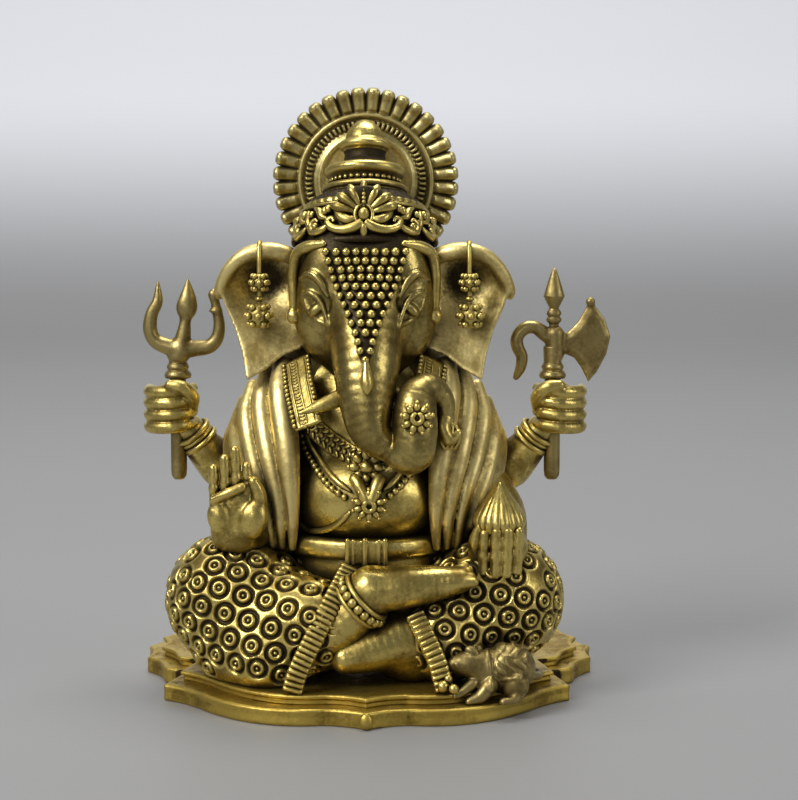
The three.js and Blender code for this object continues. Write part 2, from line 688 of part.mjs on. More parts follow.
const figurePieces = [
  ['trident', 'pale', tridentPiece],
  ['axe', 'pale', axePiece],
  ['right_grip_hand', 'skin', grippingHand(right)],
  ['left_grip_hand', 'skin', grippingHand(left)],
  ['torso', 'skin', torso],
  ['head', 'skin', head],
  ['trunk', 'skin', trunkTube],
  ['right_leg', 'skin', rightLeg],
  ['left_leg', 'skin', leftLeg],
  ['right_rear_arm', 'skin', armToWeapon(right)],
  ['left_rear_arm', 'skin', armToWeapon(left)],
  ['raised_hand', 'skin', raisedHand],
  ['cupped_hand', 'skin', cuppedHand],
  ['right_shawl', 'skin', shoulderShawl(right)],
  ['left_shawl', 'skin', shoulderShawl(left)],
  ['right_skirt', 'ornament', skirt(right)],
  ['left_skirt', 'ornament', skirt(left)],
  ['crown_band', 'ornament', crownBand],
  ['crown_dome', 'ornament', crownDome],
  ['crown_finial', 'ornament', crownFinial],
  ['crown_crest', 'ornament', crownCrest],
  ['halo_disc', 'pale', haloDisc],
  ['halo_ring', 'pale', haloRing(haloRings.plain)],
  ['halo_bead_ring', 'pale', haloRing(haloRings.beaded)],
  ['halo_post', 'pale', haloPost],
  ['right_ear', 'skin', earShell(right)],
  ['left_ear', 'skin', earShell(left)],
  ['right_earring', 'ornament', earDrop(right)],
  ['left_earring', 'ornament', earDrop(left)],
  ['right_tusk', 'skin', rightTusk],
  ['left_tusk_stump', 'skin', leftTuskStump],
  ['forehead_net', 'ornament', foreheadNet],
  ['forehead_drop', 'ornament', foreheadDrop],
  ['trunk_sweet', 'ornament', trunkSweet],
  ['trunk_rosette', 'ornament', trunkRosette],
  ['sweetmeat', 'ornament', sweetCone],
  ['waist_belt', 'skin', waistBelt],
  ['belt_buckle', 'ornament', beltBuckle],
  ['right_bangle', 'ornament', wristRing(right)],
  ['left_bangle', 'ornament', wristRing(left)],
  ['right_collar_strap', 'ornament', collarStrap(right)],
  ['left_collar_strap', 'ornament', collarStrap(left)],
  ['necklace', 'ornament', necklace],
  ['bead_chain', 'ornament', beadChain],
  ['sacred_thread', 'skin', sacredThread],
  ['upper_pendant', 'ornament', upperPendant],
  ['lower_pendant', 'ornament', lowerPendant],
  ['anklet', 'ornament', ankletRing],
  ['right_hem', 'ornament', rightHem],
  ['left_hem', 'ornament', leftHem],
  ['mouse', 'pale', mouseBody],
  ['mouse_tail', 'pale', mouseTail],
  ['mouse_sweet', 'ornament', mouseSweet],
];

const meet = (a, b) => a.min.every((low, i) => low < b.max[i] && b.min[i] < a.max[i]);

// The largest body of a solid: scraps that a neighbour's cut leaves loose behind it are dressed off.
const largestBody = (solid) => solid.decompose().reduce((a, b) => (a.volume() > b.volume() ? a : b));

// Fits the pieces into a group, clear of solids that are there already, and returns them all.
function fitInto(group, pieces, standing = []) {
  const fitted = [...standing];
  for (const [name, finish, shape] of pieces) {
    let solid = shape(0);
    for (const grown of fitted) {
      if (meet(solid.boundingBox(), grown.boundingBox())) solid = solid.subtract(grown);
    }
    fitted.push(shape(GAP));
    const mesh = new THREE.Mesh(geometryOf(largestBody(solid)), materials[finish]);
    mesh.name = name;
    group.add(mesh);
  }
  return fitted;
}

const plinth = new THREE.Group();
const tiers = fitInto(plinth, plinthPieces);

const figure = new THREE.Group();
figure.position.set(figureAt.x, 0, figureAt.z);
const tiersBelow = tiers.map((tier) => solidOf(geometryOf(tier).translate(-figureAt.x, 0, -figureAt.z)));
fitInto(figure, figurePieces, tiersBelow);

const statue = new THREE.Group();
statue.add(plinth, figure);

export default statue;
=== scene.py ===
"""The looks of a seated elephant-headed deity in antiqued brass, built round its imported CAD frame.

Forms are sculpted as distance fields in millimetres, turned into meshes, and carved with reliefs.
Figure coordinates: x from the middle of the halo, z from the top of the plinth, and the figure faces -y.
"""
import math

import bpy
import numpy as np
from mathutils import Euler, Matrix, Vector


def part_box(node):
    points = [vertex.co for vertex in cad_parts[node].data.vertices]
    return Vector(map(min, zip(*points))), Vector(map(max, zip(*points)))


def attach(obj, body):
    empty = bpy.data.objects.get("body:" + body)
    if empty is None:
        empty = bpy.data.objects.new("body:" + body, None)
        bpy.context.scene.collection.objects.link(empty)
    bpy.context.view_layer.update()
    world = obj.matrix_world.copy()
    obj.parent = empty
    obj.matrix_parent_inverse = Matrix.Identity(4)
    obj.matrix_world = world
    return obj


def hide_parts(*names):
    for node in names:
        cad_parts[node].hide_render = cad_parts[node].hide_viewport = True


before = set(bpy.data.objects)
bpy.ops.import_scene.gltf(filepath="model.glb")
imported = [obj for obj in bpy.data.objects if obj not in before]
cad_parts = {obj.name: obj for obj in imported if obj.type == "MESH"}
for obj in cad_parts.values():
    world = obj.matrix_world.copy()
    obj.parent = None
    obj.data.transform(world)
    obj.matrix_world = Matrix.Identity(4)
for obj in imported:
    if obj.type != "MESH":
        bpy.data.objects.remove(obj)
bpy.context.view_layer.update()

MM = 0.001
COARSER = 1.0  # sculpting cells grow while trying things


# ---------------------------------------------------------------- the frame, in millimetres
def box_mm(node):
    low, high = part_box(node)
    return np.array(low) / MM, np.array(high) / MM


plate_low, plate_high = box_mm("plinth_plate")
step_low, step_high = box_mm("plinth_step")
halo_low, halo_high = box_mm("halo_disc")
ORIGIN = np.array([(halo_low[0] + halo_high[0]) / 2, 0, step_high[2]])


def around(*nodes, margin=2.5):
    """The box of some CAD nodes in figure coordinates, with a margin."""
    boxes = [box_mm(n) for n in nodes]
    low = np.min([b[0] for b in boxes], axis=0) - ORIGIN - margin
    high = np.max([b[1] for b in boxes], axis=0) - ORIGIN + margin
    return low, high


# ---------------------------------------------------------------- distance fields
def unit(v):
    return v / np.maximum(np.linalg.norm(v, axis=-1, keepdims=True), 1e-9)


def turned_axes(turn):
    return np.array(Euler([math.radians(t) for t in turn]).to_matrix())


def egg(at, radii, turn=(0, 0, 0)):
    at, radii, axes = np.array(at, float), np.array(radii, float), turned_axes(turn)

    def field(p):
        q = (p - at) @ axes
        near = np.maximum(np.linalg.norm(q / radii, axis=1), 1e-3)
        return near * (near - 1) / np.maximum(np.linalg.norm(q / radii**2, axis=1), 1e-9)

    return field


def smooth_path(points, radii=1.0, per=6):
    """A smooth curve through points, with radii along it."""
    full = np.column_stack([np.array(points, float), np.broadcast_to(radii, len(points))])
    full = np.vstack([2 * full[0] - full[1], full, 2 * full[-1] - full[-2]])
    t = np.linspace(0, 1, per, endpoint=False)[:, None]
    out = []
    for a, b, c, d in zip(full, full[1:], full[2:], full[3:]):
        bend, twist = 2 * a - 5 * b + 4 * c - d, 3 * b - a - 3 * c + d
        out.append(0.5 * (2 * b + (c - a) * t + bend * t**2 + twist * t**3))
    out = np.vstack(out + [full[-2:-1]])
    return out[:, :3], np.maximum(out[:, 3], 0.05)


def lengths_along(line):
    """How far along a line each of its points is."""
    return np.concatenate([[0], np.cumsum(np.linalg.norm(np.diff(line, axis=0), axis=1))])


def stations(line, start, step):
    """Which points of a fine line are a step apart, from a start near its beginning."""
    far = lengths_along(line)
    return np.searchsorted(far, np.arange(start, far[-1], step)).clip(0, len(line) - 1)


def fade_in(value, start, length):
    """0 up to a start, 1 from a length past it, and straight between."""
    return np.clip((value - start) / length, 0, 1)


def tube(points, radii, flat=1.0, facing=(0, -1, 0), per=5):
    """A round limb along a smooth path, thinner along facing where flat is under 1."""
    path, size = smooth_path(points, radii, per)
    face = unit(np.array(facing, float))

    def field(p):
        best = np.full(len(p), 1e9)
        for a, b, ra, rb in zip(path[:-1], path[1:], size[:-1], size[1:]):
            along = b - a
            h = np.clip((p - a) @ along / max(along @ along, 1e-9), 0, 1)
            w = p - a - h[:, None] * along
            square = np.einsum("ij,ij->i", w, w)
            if flat != 1:
                square = square + (w @ face) ** 2 * (flat**-2 - 1)
            best = np.minimum(best, (np.sqrt(square) - ra - h * (rb - ra)) * min(flat, 1))
        return best

    return field


def block(at, half, round_edge=0.3, turn=(0, 0, 0)):
    at, half, axes = np.array(at, float), np.array(half, float) - round_edge, turned_axes(turn)

    def field(p):
        q = np.abs((p - at) @ axes) - half
        return np.linalg.norm(np.maximum(q, 0), axis=1) + np.minimum(q.max(axis=1), 0) - round_edge

    return field


def outline_distance(p, corners):
    """How far points are outside an outline in x and z, and negative inside it."""
    x, z = p[:, 0], p[:, 2]
    inside, best = np.zeros(len(p), bool), np.full(len(p), 1e9)
    for (ax, az), (bx, bz) in zip(corners, np.roll(corners, -1, axis=0)):
        dx, dz = bx - ax, bz - az
        h = np.clip(((x - ax) * dx + (z - az) * dz) / (dx**2 + dz**2), 0, 1)
        best = np.minimum(best, np.hypot(x - ax - h * dx, z - az - h * dz))
        inside ^= ((az > z) != (bz > z)) & (x < dx * (z - az) / (dz + 1e-12) + ax)
    return np.where(inside, -best, best)


def fuse(k, *fields):
    """The union of fields, with fillets of about k between them."""

    def field(p):
        d = fields[0](p)
        for other in fields[1:]:
            e = other(p)
            h = np.clip(0.5 + 0.5 * (e - d) / k, 0, 1)
            d = e + (d - e) * h - k * h * (1 - h)
        return d

    return field


def carve(k, base, *tools):
    """A field with others cut out of it, with edges rounded by about k."""

    def field(p):
        d = base(p)
        for tool in tools:
            e = -tool(p)
            h = np.clip(0.5 - 0.5 * (e - d) / k, 0, 1)
            d = e + (d - e) * h + k * h * (1 - h)
        return d

    return field


def above(field, height, k=0.3):
    return carve(k, field, lambda p: p[:, 2] - height)


def flip(field):
    """The mirror image of a field in the plane x = 0."""
    return lambda p: field(p * (-1, 1, 1))


def slope(field, p, step=0.05):
    """Unit directions out of a field at points."""
    p = np.atleast_2d(p)
    sides = [field(p + d) - field(p - d) for d in np.eye(3) * step]
    return unit(np.stack(sides, axis=1))


def front(field, xz, near=-45.0, far=25.0, out=0.0):
    """Points on the front of a field, seen along +y, at pairs of x and z."""
    xz = np.atleast_2d(np.array(xz, float))
    ys = np.linspace(near, far, 351)
    p = np.empty((len(xz), len(ys), 3))
    p[:, :, 0], p[:, :, 1], p[:, :, 2] = xz[:, :1], ys, xz[:, 1:]
    values = field(p.reshape(-1, 3)).reshape(len(xz), -1)
    i = np.maximum(np.argmax(values < 0, axis=1), 1)
    rows = np.arange(len(xz))
    a, b = values[rows, i - 1], values[rows, i]
    y = ys[i - 1] + (ys[i] - ys[i - 1]) * np.clip(a / (a - b + 1e-9), 0, 1)
    points = np.stack([xz[:, 0], y, xz[:, 1]], axis=1)
    return points + slope(field, points) * out


def settle(field, p, rounds=4):
    """Points moved onto the surface of a field."""
    for _ in range(rounds):
        p = p - slope(field, p) * field(p)[:, None]
    return p


# ---------------------------------------------------------------- meshes: (vertices, list of face arrays)
BATCH = 1500  # blocks of cells worked out at a time
CORNERS = np.array([(x, y, z) for x in (0, 1) for y in (0, 1) for z in (0, 1)])


def sculpt(field, span, cell):
    """A mesh of quads where a field changes sign, by surface nets on a grid that is filled only near it."""
    low, high = span
    cell = cell * COARSER
    size = 6
    count = np.ceil((high - low) / (cell * size)).astype(int)
    axes = [low[k] + (np.arange(count[k]) + 0.5) * cell * size for k in range(3)]
    middles = np.stack(np.meshgrid(*axes, indexing="ij"), axis=-1)
    coarse = field(middles.reshape(-1, 3)).reshape(count)
    values = np.repeat(np.repeat(np.repeat(coarse, size, 0), size, 1), size, 2)
    near = np.abs(coarse) < cell * size * 1.5 + 0.8
    offsets = np.stack(np.meshgrid(*[np.arange(size)] * 3, indexing="ij"), axis=-1)
    points = middles[near][:, None, :] + ((offsets + 0.5 - size / 2) * cell).reshape(1, -1, 3)
    batches = np.array_split(points, len(points) // BATCH + 1)
    filled = np.concatenate([field(batch.reshape(-1, 3)) for batch in batches])
    view = values.reshape(count[0], size, count[1], size, count[2], size).transpose(0, 2, 4, 1, 3, 5)
    view[near] = filled.reshape(-1, size, size, size)
    for k in range(3):
        edge = [slice(None)] * 3
        for end in (0, -1):
            edge[k] = end
            values[tuple(edge)] = np.maximum(values[tuple(edge)], cell * 0.3)
    inside = values < 0
    limit = np.array(values.shape) - 1
    full = sum(inside[x : limit[0] + x, y : limit[1] + y, z : limit[2] + z].astype(np.int8)
               for x, y, z in CORNERS)
    cells = np.argwhere((full > 0) & (full < 8))
    ids = np.full(limit, -1)
    ids[tuple(cells.T)] = np.arange(len(cells))
    total, hits = np.zeros((len(cells), 3)), np.zeros(len(cells))
    for a in CORNERS:
        for b in CORNERS:
            if (b - a).sum() != 1 or (b < a).any():
                continue
            va, vb = values[tuple((cells + a).T)], values[tuple((cells + b).T)]
            cross = (va < 0) != (vb < 0)
            t = (va / np.where(cross, va - vb, 1))[:, None]
            total += np.where(cross[:, None], a + t * (b - a), 0)
            hits += cross
    vertices = low + (cells + total / hits[:, None] + 0.5) * cell
    quads = []
    for k in range(3):
        u, v = np.eye(3, dtype=int)[(k + 1) % 3], np.eye(3, dtype=int)[(k + 2) % 3]
        step = np.eye(3, dtype=int)[k]
        here = inside[tuple(slice(1 - step[i], -1) for i in range(3))]
        there = inside[tuple(slice(1, None) if step[i] else slice(1, -1) for i in range(3))]
        p = np.argwhere(here != there) + (1 - step)
        ring = np.stack([ids[tuple((p - s).T)] for s in (u + v, v, 0 * u, u)], axis=1)
        up = inside[tuple(p.T)]
        quads.append(np.where(up[:, None], ring, ring[:, ::-1]))
    return relaxed((vertices, [np.vstack(quads)]), 2)


def merge(*meshes):
    vertices, faces, start = [], [], 0
    for v, f in meshes:
        vertices.append(v)
        faces += [part + start for part in f]
        start += len(v)
    return np.vstack(vertices), faces


def edges_of(faces):
    pairs = np.vstack([np.stack([f[:, i], f[:, (i + 1) % f.shape[1]]], axis=1)
                       for f in faces for i in range(f.shape[1])])
    return np.vstack([pairs, pairs[:, ::-1]])


def neighbour_mean(values, pairs):
    n = len(values)
    count = np.maximum(np.bincount(pairs[:, 0], minlength=n), 1)
    columns = [np.bincount(pairs[:, 0], values[pairs[:, 1], k], n) / count for k in range(values.shape[1])]
    return np.stack(columns, axis=1)


def relaxed(mesh, rounds, share=0.5):
    vertices, faces = mesh
    pairs = edges_of(faces)
    for _ in range(rounds):
        vertices = vertices + (neighbour_mean(vertices, pairs) - vertices) * share
    return vertices, faces


def normals(mesh):
    vertices, faces = mesh
    total = np.zeros_like(vertices)
    for f in faces:
        a, b, c, d = (vertices[f[:, i % f.shape[1]]] for i in (0, 1, 2, 3))
        face = np.cross(c - a, d - b) if f.shape[1] == 4 else np.cross(b - a, c - a)
        for i in range(f.shape[1]):
            for k in range(3):
                total[:, k] += np.bincount(f[:, i], face[:, k], len(vertices))
    return unit(total)


def relief(mesh, height):
    """Moves vertices along their normals by a height in millimetres."""
    vertices, faces = mesh
    return vertices + normals(mesh) * height(vertices)[:, None], faces


def grid_faces(rows, columns, closed):
    """Quads of a grid of rows, each row closed into a ring if asked."""
    a = np.arange(rows * columns).reshape(rows, columns)
    b = np.roll(a, -1, axis=1) if closed else a[:, 1:]
    a = a if closed else a[:, :-1]
    return np.stack([a[:-1], b[:-1], b[1:], a[1:]], axis=-1).reshape(-1, 4)


def rings_mesh(rings):
    """A closed mesh through rings of points, capped with a fan at each end."""
    n, m = len(rings), len(rings[0])
    vertices = np.vstack([*rings, np.mean(rings[0], axis=0)[None], np.mean(rings[-1], axis=0)[None]])
    turn, last = np.arange(m), (n - 1) * m
    low = np.stack([np.full(m, n * m), np.roll(turn, -1), turn], axis=1)
    high = np.stack([np.full(m, n * m + 1), turn, np.roll(turn, -1)], axis=1) + [0, last, last]
    return vertices, [grid_faces(n, m, True), low, high]


def ball_mesh(detail=10):
    rows = round(detail * 0.6)
    ring = circle(detail)
    polar = np.linspace(0, math.pi, rows + 1)[1:-1]
    rings = [np.column_stack([np.sin(a) * ring, np.full(detail, -np.cos(a))]) for a in polar]
    vertices, faces = rings_mesh(rings)
    vertices[-2], vertices[-1] = (0, 0, -1), (0, 0, 1)
    return vertices, faces


def balls(points, radius, detail=10):
    ball, faces = ball_mesh(detail)
    radii = np.broadcast_to(radius, len(points))
    return merge(*[(ball * r + p, faces) for p, r in zip(points, radii)])


def blob(at, axes, detail=12):
    """An egg-shaped lump whose half axes are three vectors."""
    ball, faces = ball_mesh(detail)
    axes = np.array(axes, float)
    if np.linalg.det(axes) < 0:
        axes[2] = -axes[2]
    return ball @ axes + np.array(at), faces


def sweep(points, shape, per=8, facing=(0, -1, 0)):
    """A strip or cord along a smooth path. shape(u) is its section, in pairs of sideways and outward."""
    path, _ = smooth_path(points, 1.0, per)
    along = unit(np.gradient(path, axis=0))
    facing = np.broadcast_to(np.array(facing, float), path.shape)
    across = unit(np.cross(facing, along))
    out = np.cross(along, across)
    length = lengths_along(path)
    rings = []
    for p, s, o, u in zip(path, across, out, length / length[-1]):
        section = shape(u)
        rings.append(p + section[:, :1] * s + section[:, 1:] * o)
    return rings_mesh(rings)


def circle(n):
    a = np.linspace(0, 2 * math.pi, n, endpoint=False)
    return np.stack([np.cos(a), np.sin(a)], axis=1)


def bar(sides, across, out):
    """A flat bar's section. Smaller powers make its sides flatter and its corners tighter."""
    ring = circle(sides)
    return np.sign(ring) * np.abs(ring) ** (across, out)


def across_axis(axis):
    """Two directions square to an axis and to each other."""
    one = unit(np.cross(axis, (0, 1, 0)))
    return one, np.cross(axis, one)


def hoop_mesh(middle, axis, radius, thick, stops, sides):
    """A ring of round cord about an axis."""
    one, two = across_axis(axis)
    section = circle(sides) * thick
    rings = []
    for t in np.linspace(0, 2 * math.pi, stops):
        on_ring = middle + radius * (math.cos(t) * one + math.sin(t) * two)
        out = np.cross(unit(math.cos(t) * two - math.sin(t) * one), axis)
        rings.append(on_ring + section[:, :1] * axis + section[:, 1:] * out)
    return rings_mesh(rings)


def cord_mesh(points, radius, per=6, sides=10, facing=(0, -1, 0.01)):
    """A round cord, thinning to its two ends."""
    ring = circle(sides)
    return sweep(points, lambda u: ring * radius * min(1, 0.35 + 6 * min(u, 1 - u)), per, facing)


def lathe(profile, sides=64, at=(0, 0, 0), lean=0.0, squash=1.0, wave=None):
    """A turned piece. profile is pairs of radius and height. wave(angle, radius, height) is added to it."""
    a = np.linspace(0, 2 * math.pi, sides, endpoint=False)
    rings = []
    for r, h in profile:
        rr = r + (wave(a, r, h) if wave else 0)
        rings.append(np.stack([rr * np.cos(a), rr * np.sin(a) * squash, np.full(sides, h)], axis=1))
    vertices, faces = rings_mesh(rings)
    c, s = math.cos(math.radians(lean)), math.sin(math.radians(lean))
    y, z = vertices[:, 1] * c + vertices[:, 2] * s, -vertices[:, 1] * s + vertices[:, 2] * c
    return np.stack([vertices[:, 0], y, z], axis=1) + np.array(at), faces


def rounded(profile, radius=0.25, steps=3):
    """A profile with its corners cut into short arcs."""
    profile = np.array(profile, float)
    out = [profile[0]]
    for a, b, c in zip(profile, profile[1:], profile[2:]):
        r = min(radius, np.linalg.norm(a - b) * 0.45, np.linalg.norm(c - b) * 0.45)
        p, q = b + unit(a - b) * r, b + unit(c - b) * r
        for t in np.linspace(0, 1, steps + 1):
            out.append((1 - t) ** 2 * p + 2 * t * (1 - t) * b + t**2 * q)
    return np.array(out + [profile[-1]])


# ---------------------------------------------------------------- brass
class Nodes:
    """A material's node tree, with short calls to add and join nodes."""

    def __init__(self, name):
        self.material = bpy.data.materials.new(name)
        self.material.use_nodes = True
        self.tree = self.material.node_tree
        self.shader = self.tree.nodes["Principled BSDF"]

    def add(self, kind, inputs=(), **settings):
        node = self.tree.nodes.new("ShaderNode" + kind)
        for key, value in settings.items():
            setattr(node, key, value)
        for key, value in dict(inputs).items():
            self.put(value, node.inputs[key])
        return node

    def put(self, value, socket):
        if isinstance(value, bpy.types.Node):
            value = value.outputs[0]
        if isinstance(value, bpy.types.NodeSocket):
            self.tree.links.new(value, socket)
        else:
            socket.default_value = value

    def math(self, operation, a, b=0.0, clamp=False):
        return self.add("Math", {0: a, 1: b}, operation=operation, use_clamp=clamp)

    def ramp(self, value, low, high, to_low=0.0, to_high=1.0):
        return self.add("MapRange", {0: value, 1: low, 2: high, 3: to_low, 4: to_high},
                        interpolation_type="SMOOTHSTEP")

    def noise(self, scale, detail=3.0, rough=0.55):
        inputs = {"Vector": self.where, "Scale": scale, "Detail": detail, "Roughness": rough}
        return self.add("TexNoise", inputs)

    def mix(self, share, a, b):
        node = self.add("Mix", data_type="RGBA")
        self.put(share, node.inputs["Factor"])
        self.put(a, node.inputs[6])
        self.put(b, node.inputs[7])
        return node.outputs[2]


def rgb(r, g, b):
    return (r, g, b, 1)


# The third colour is the dark patina of the recesses, and also the colour of the painted shade where near
# parts crowd round.
GOLD, BRONZE, PATINA_AND_SHADE = rgb(0.68, 0.53, 0.16), rgb(0.22, 0.15, 0.036), rgb(0.028, 0.018, 0.007)
PIT, DENT = 0.05, 0.22  # depths of the cast pits and of the slow dents, in mm


def brass(name, bright, deep, dark_from, dark_to, shade, rough, worn=0.5, open_at=0.8, near=3.6):
    """Cast brass: bright on high points, a deeper tone between, dark patina in the recesses, and painted
    shade.

    dark_from and dark_to are carved depths in mm. shade is how strongly near neighbours darken it as painted
    shade in the patina colour, starting where the share of open space within near mm falls under open_at.
    """
    n = Nodes(name)
    place = n.add("TexCoord")
    n.where = n.add("Mapping", {"Vector": place.outputs["Object"], "Scale": (1000, 1000, 1000)})
    cavity = n.add("Attribute", attribute_name="cavity").outputs["Fac"]
    # hollow is ambient occlusion, which is painted into the colour below as shade where near parts crowd
    # round
    hollow = n.add("AmbientOcclusion", {"Distance": near * MM}, samples=8).outputs["AO"]
    blotch = n.noise(0.16, 4.0, 0.6)
    speck = n.noise(1.6, 5.0, 0.65)
    fine = n.noise(5.0, 4.0, 0.6)
    uneven = n.math("MULTIPLY", n.math("SUBTRACT", speck, 0.5), 0.16)
    depth = n.math("ADD", cavity, uneven)
    carved = n.ramp(depth, dark_from, dark_to)
    # shaded is the painted shade from that ambient occlusion; the next line joins it with the real patina of
    # the carved recesses
    shaded = n.ramp(hollow, open_at, open_at - 0.52, 0.0, shade)
    patina_and_shade_share = n.math("MAXIMUM", carved, shaded)
    patches = n.math("ADD", n.math("MULTIPLY", blotch, 0.7), n.math("MULTIPLY", speck, 0.3))
    stain = n.ramp(patches, 0.38, 0.62, 0.0, 0.95)
    edge = n.ramp(cavity, -0.01, -0.09, 0.0, worn)
    tone = n.mix(n.math("SUBTRACT", stain, edge, clamp=True), bright, deep)
    # the colour darkens to the patina colour both for real patina and for painted shade
    colour = n.mix(n.math("MULTIPLY", patina_and_shade_share, n.ramp(fine, 0.2, 0.6, 0.86, 1.0)), tone, PATINA_AND_SHADE)
    n.put(colour, n.shader.inputs["Base Color"])
    n.put(n.ramp(patina_and_shade_share, 0.45, 1.0, 1.0, 0.75), n.shader.inputs["Metallic"])
    satin = n.math("ADD", n.math("MULTIPLY", n.math("SUBTRACT", fine, 0.5), 0.22), rough)
    satin = n.math("ADD", satin, n.math("MULTIPLY", stain, 0.16))
    n.put(n.math("ADD", satin, n.math("MULTIPLY", patina_and_shade_share, 0.18), clamp=True), n.shader.inputs["Roughness"])
    pits = n.math("ADD", n.math("MULTIPLY", speck, 0.6), n.math("MULTIPLY", fine, 0.4))
    bump = n.add("Bump", {"Height": pits, "Strength": 0.55, "Distance": PIT * MM})
    dents = n.noise(0.55, 2.0, 0.5)
    swell = n.add("Bump", {"Height": dents, "Strength": 0.5, "Distance": DENT * MM, "Normal": bump})
    n.put(swell, n.shader.inputs["Normal"])
    return n.material


# In each finish, the third number is how strong its painted shade from near neighbours is.
FINISHES = {
    "skin": ("burnished_brass",
             brass("burnished", GOLD, BRONZE, 0.07, 0.3, 0.97, 0.27, open_at=0.78, near=5.5)),
    "ornament": ("antiqued_brass",
                 brass("antiqued", GOLD, BRONZE, 0.015, 0.12, 1.0, 0.28, worn=0.9, open_at=0.9)),
    "pale": ("matt_brass",
             brass("matt", rgb(0.62, 0.52, 0.22), rgb(0.30, 0.23, 0.08), 0.05, 0.24, 0.9, 0.38)),
    # a darker copy of the matt brass, the same metal as the halo, for the weapons and the mouse: painted
    # shade
    "matt_painted_shade": ("matt_brass",
             brass("matt_painted_shade", rgb(0.40, 0.31, 0.12), rgb(0.17, 0.12, 0.04), 0.04, 0.2, 0.95, 0.36)),
    "plinth": ("plinth_brass",
               brass("plinth", rgb(0.58, 0.42, 0.09), rgb(0.26, 0.17, 0.03), 0.04, 0.25, 0.2, 0.4)),
    # a darker copy of the burnished brass for the head and trunk: painted shade
    "face": ("burnished_brass",
             brass("face", rgb(0.46, 0.36, 0.12), rgb(0.16, 0.11, 0.03), 0.07, 0.3, 0.97, 0.28,
                   open_at=0.8, near=5.5)),
    # a lighter copy of the burnished brass for the ears and shawl: painted light
    "sheet": ("burnished_brass",
              brass("sheet", rgb(0.84, 0.68, 0.28), rgb(0.34, 0.25, 0.08), 0.07, 0.3, 0.95, 0.38,
                    open_at=0.76, near=5.5)),
}


# ---------------------------------------------------------------- pieces
def hollows(mesh, rounds=14):
    """How deep each vertex lies under the smoothed surface, in millimetres."""
    smooth, _ = relaxed(mesh, rounds, 0.7)
    return np.einsum("ij,ij->i", smooth - mesh[0], normals(mesh))


def piece(name, mesh, finish, *nodes, body="figure", rounds=14, at=ORIGIN, dark=None):
    """A shown object made of a mesh in figure millimetres, standing for some CAD nodes.

    dark adds to the depth that the patina sees, at points where a ground is darkened between ornaments.
    """
    vertices, faces = mesh
    data = bpy.data.meshes.new(name)
    data.vertices.add(len(vertices))
    data.vertices.foreach_set("co", ((vertices + at) * MM).astype(np.float32).ravel())
    loops = np.concatenate([f.ravel() for f in faces])
    sizes = np.concatenate([np.full(len(f), f.shape[1]) for f in faces])
    data.loops.add(len(loops))
    data.loops.foreach_set("vertex_index", loops.astype(np.int32))
    data.polygons.add(len(sizes))
    data.polygons.foreach_set("loop_start", np.concatenate([[0], np.cumsum(sizes)[:-1]]).astype(np.int32))
    data.update(calc_edges=True)
    data.validate()
    data.shade_smooth()
    depth = data.attributes.new("cavity", "FLOAT", "POINT")
    depths = hollows(mesh, rounds) + (dark(vertices) if dark else 0)
    depth.data.foreach_set("value", depths.astype(np.float32))
    slot, material = FINISHES[finish]
    data.materials.append(material)
    made = bpy.data.objects.new(name, data)
    bpy.context.scene.collection.objects.link(made)
    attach(made, body)
    if nodes:
        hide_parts(*nodes)
    return made


# ---------------------------------------------------------------- plinth
ARC_MIDDLE = 16.0  # y of the middle of the plinth's rear arc
plate_half = plate_high[0] * 0.861
plate_tip, plate_corner = -plate_low[1], 13.4
step_inset = plate_high[0] - step_high[0]
SCALLOPS, SCALLOP = 15, 1.3


def curve_points(a, b, c, d=None, n=26):
    """Points of a quadratic or cubic Bezier curve, without its end."""
    t = np.linspace(0, 1, n, endpoint=False)[:, None]
    a, b, c = (np.array(p, float) for p in (a, b, c))
    if d is None:
        return (1 - t) ** 2 * a + 2 * t * (1 - t) * b + t**2 * c
    return (1 - t) ** 3 * a + 3 * t * (1 - t) ** 2 * b + 3 * t**2 * (1 - t) * c + t**3 * np.array(d, float)


def plinth_outline(out):
    """The plinth's outline from above, anticlockwise from its front tip, moved out by a distance."""
    corner, face, tip = plate_half + out, -plate_corner - out, -plate_tip - out
    notch, bend = tip + 3.2, (tip + face) / 2 + 3.6
    side = [
        curve_points((0, tip), (corner * 0.09, notch - 0.3), (corner * 0.21, notch)),
        curve_points((corner * 0.21, notch), (corner * 0.42, tip + 1.6), (corner * 0.62, tip + 5),
                     (corner * 0.8, bend)),
        curve_points((corner * 0.8, bend), (corner * 0.9, face - 2), (corner, face)),
    ]
    side = np.vstack(side)
    u = np.linspace(0, 1, SCALLOPS * 16 + 1)
    a = np.radians(-36 + u * 252)
    dip = SCALLOP * np.abs(np.cos(u * SCALLOPS * math.pi))
    rear = np.stack([np.cos(a) * (plate_high[0] + out - dip),
                     ARC_MIDDLE + np.sin(a) * (plate_high[1] - ARC_MIDDLE + out - dip)], axis=1)
    back = (side[1:] * (-1, 1))[::-1]
    return np.vstack([side, rear, [[-corner, face]], back])


def moulded(profile):
    """A slab over the plinth's outline. profile is pairs of outward distance and height."""
    count = len(plinth_outline(0))
    return rings_mesh([np.column_stack([plinth_outline(out), np.full(count, z)]) for out, z in profile])


top = plate_high[2]
lower_tier = moulded(rounded([
    (-1.2, 0), (-0.1, 0), (0, 0.5), (-0.12, top * 0.55), (0.05, top - 0.35), (-0.35, top), (-1.0, top),
    (-step_inset - 1.5, top),
], 0.3))
rise = step_high[2] - step_low[2]
upper_tier = moulded(rounded([
    (-step_inset - 1, top), (-step_inset - 0.55, top + 0.05), (-step_inset - 0.75, top + rise * 0.55),
    (-step_inset + 0.05, top + rise * 0.72), (-step_inset, step_high[2] - 0.2),
    (-step_inset - 0.4, step_high[2]), (-step_inset - 1.2, step_high[2]),
], 0.25))


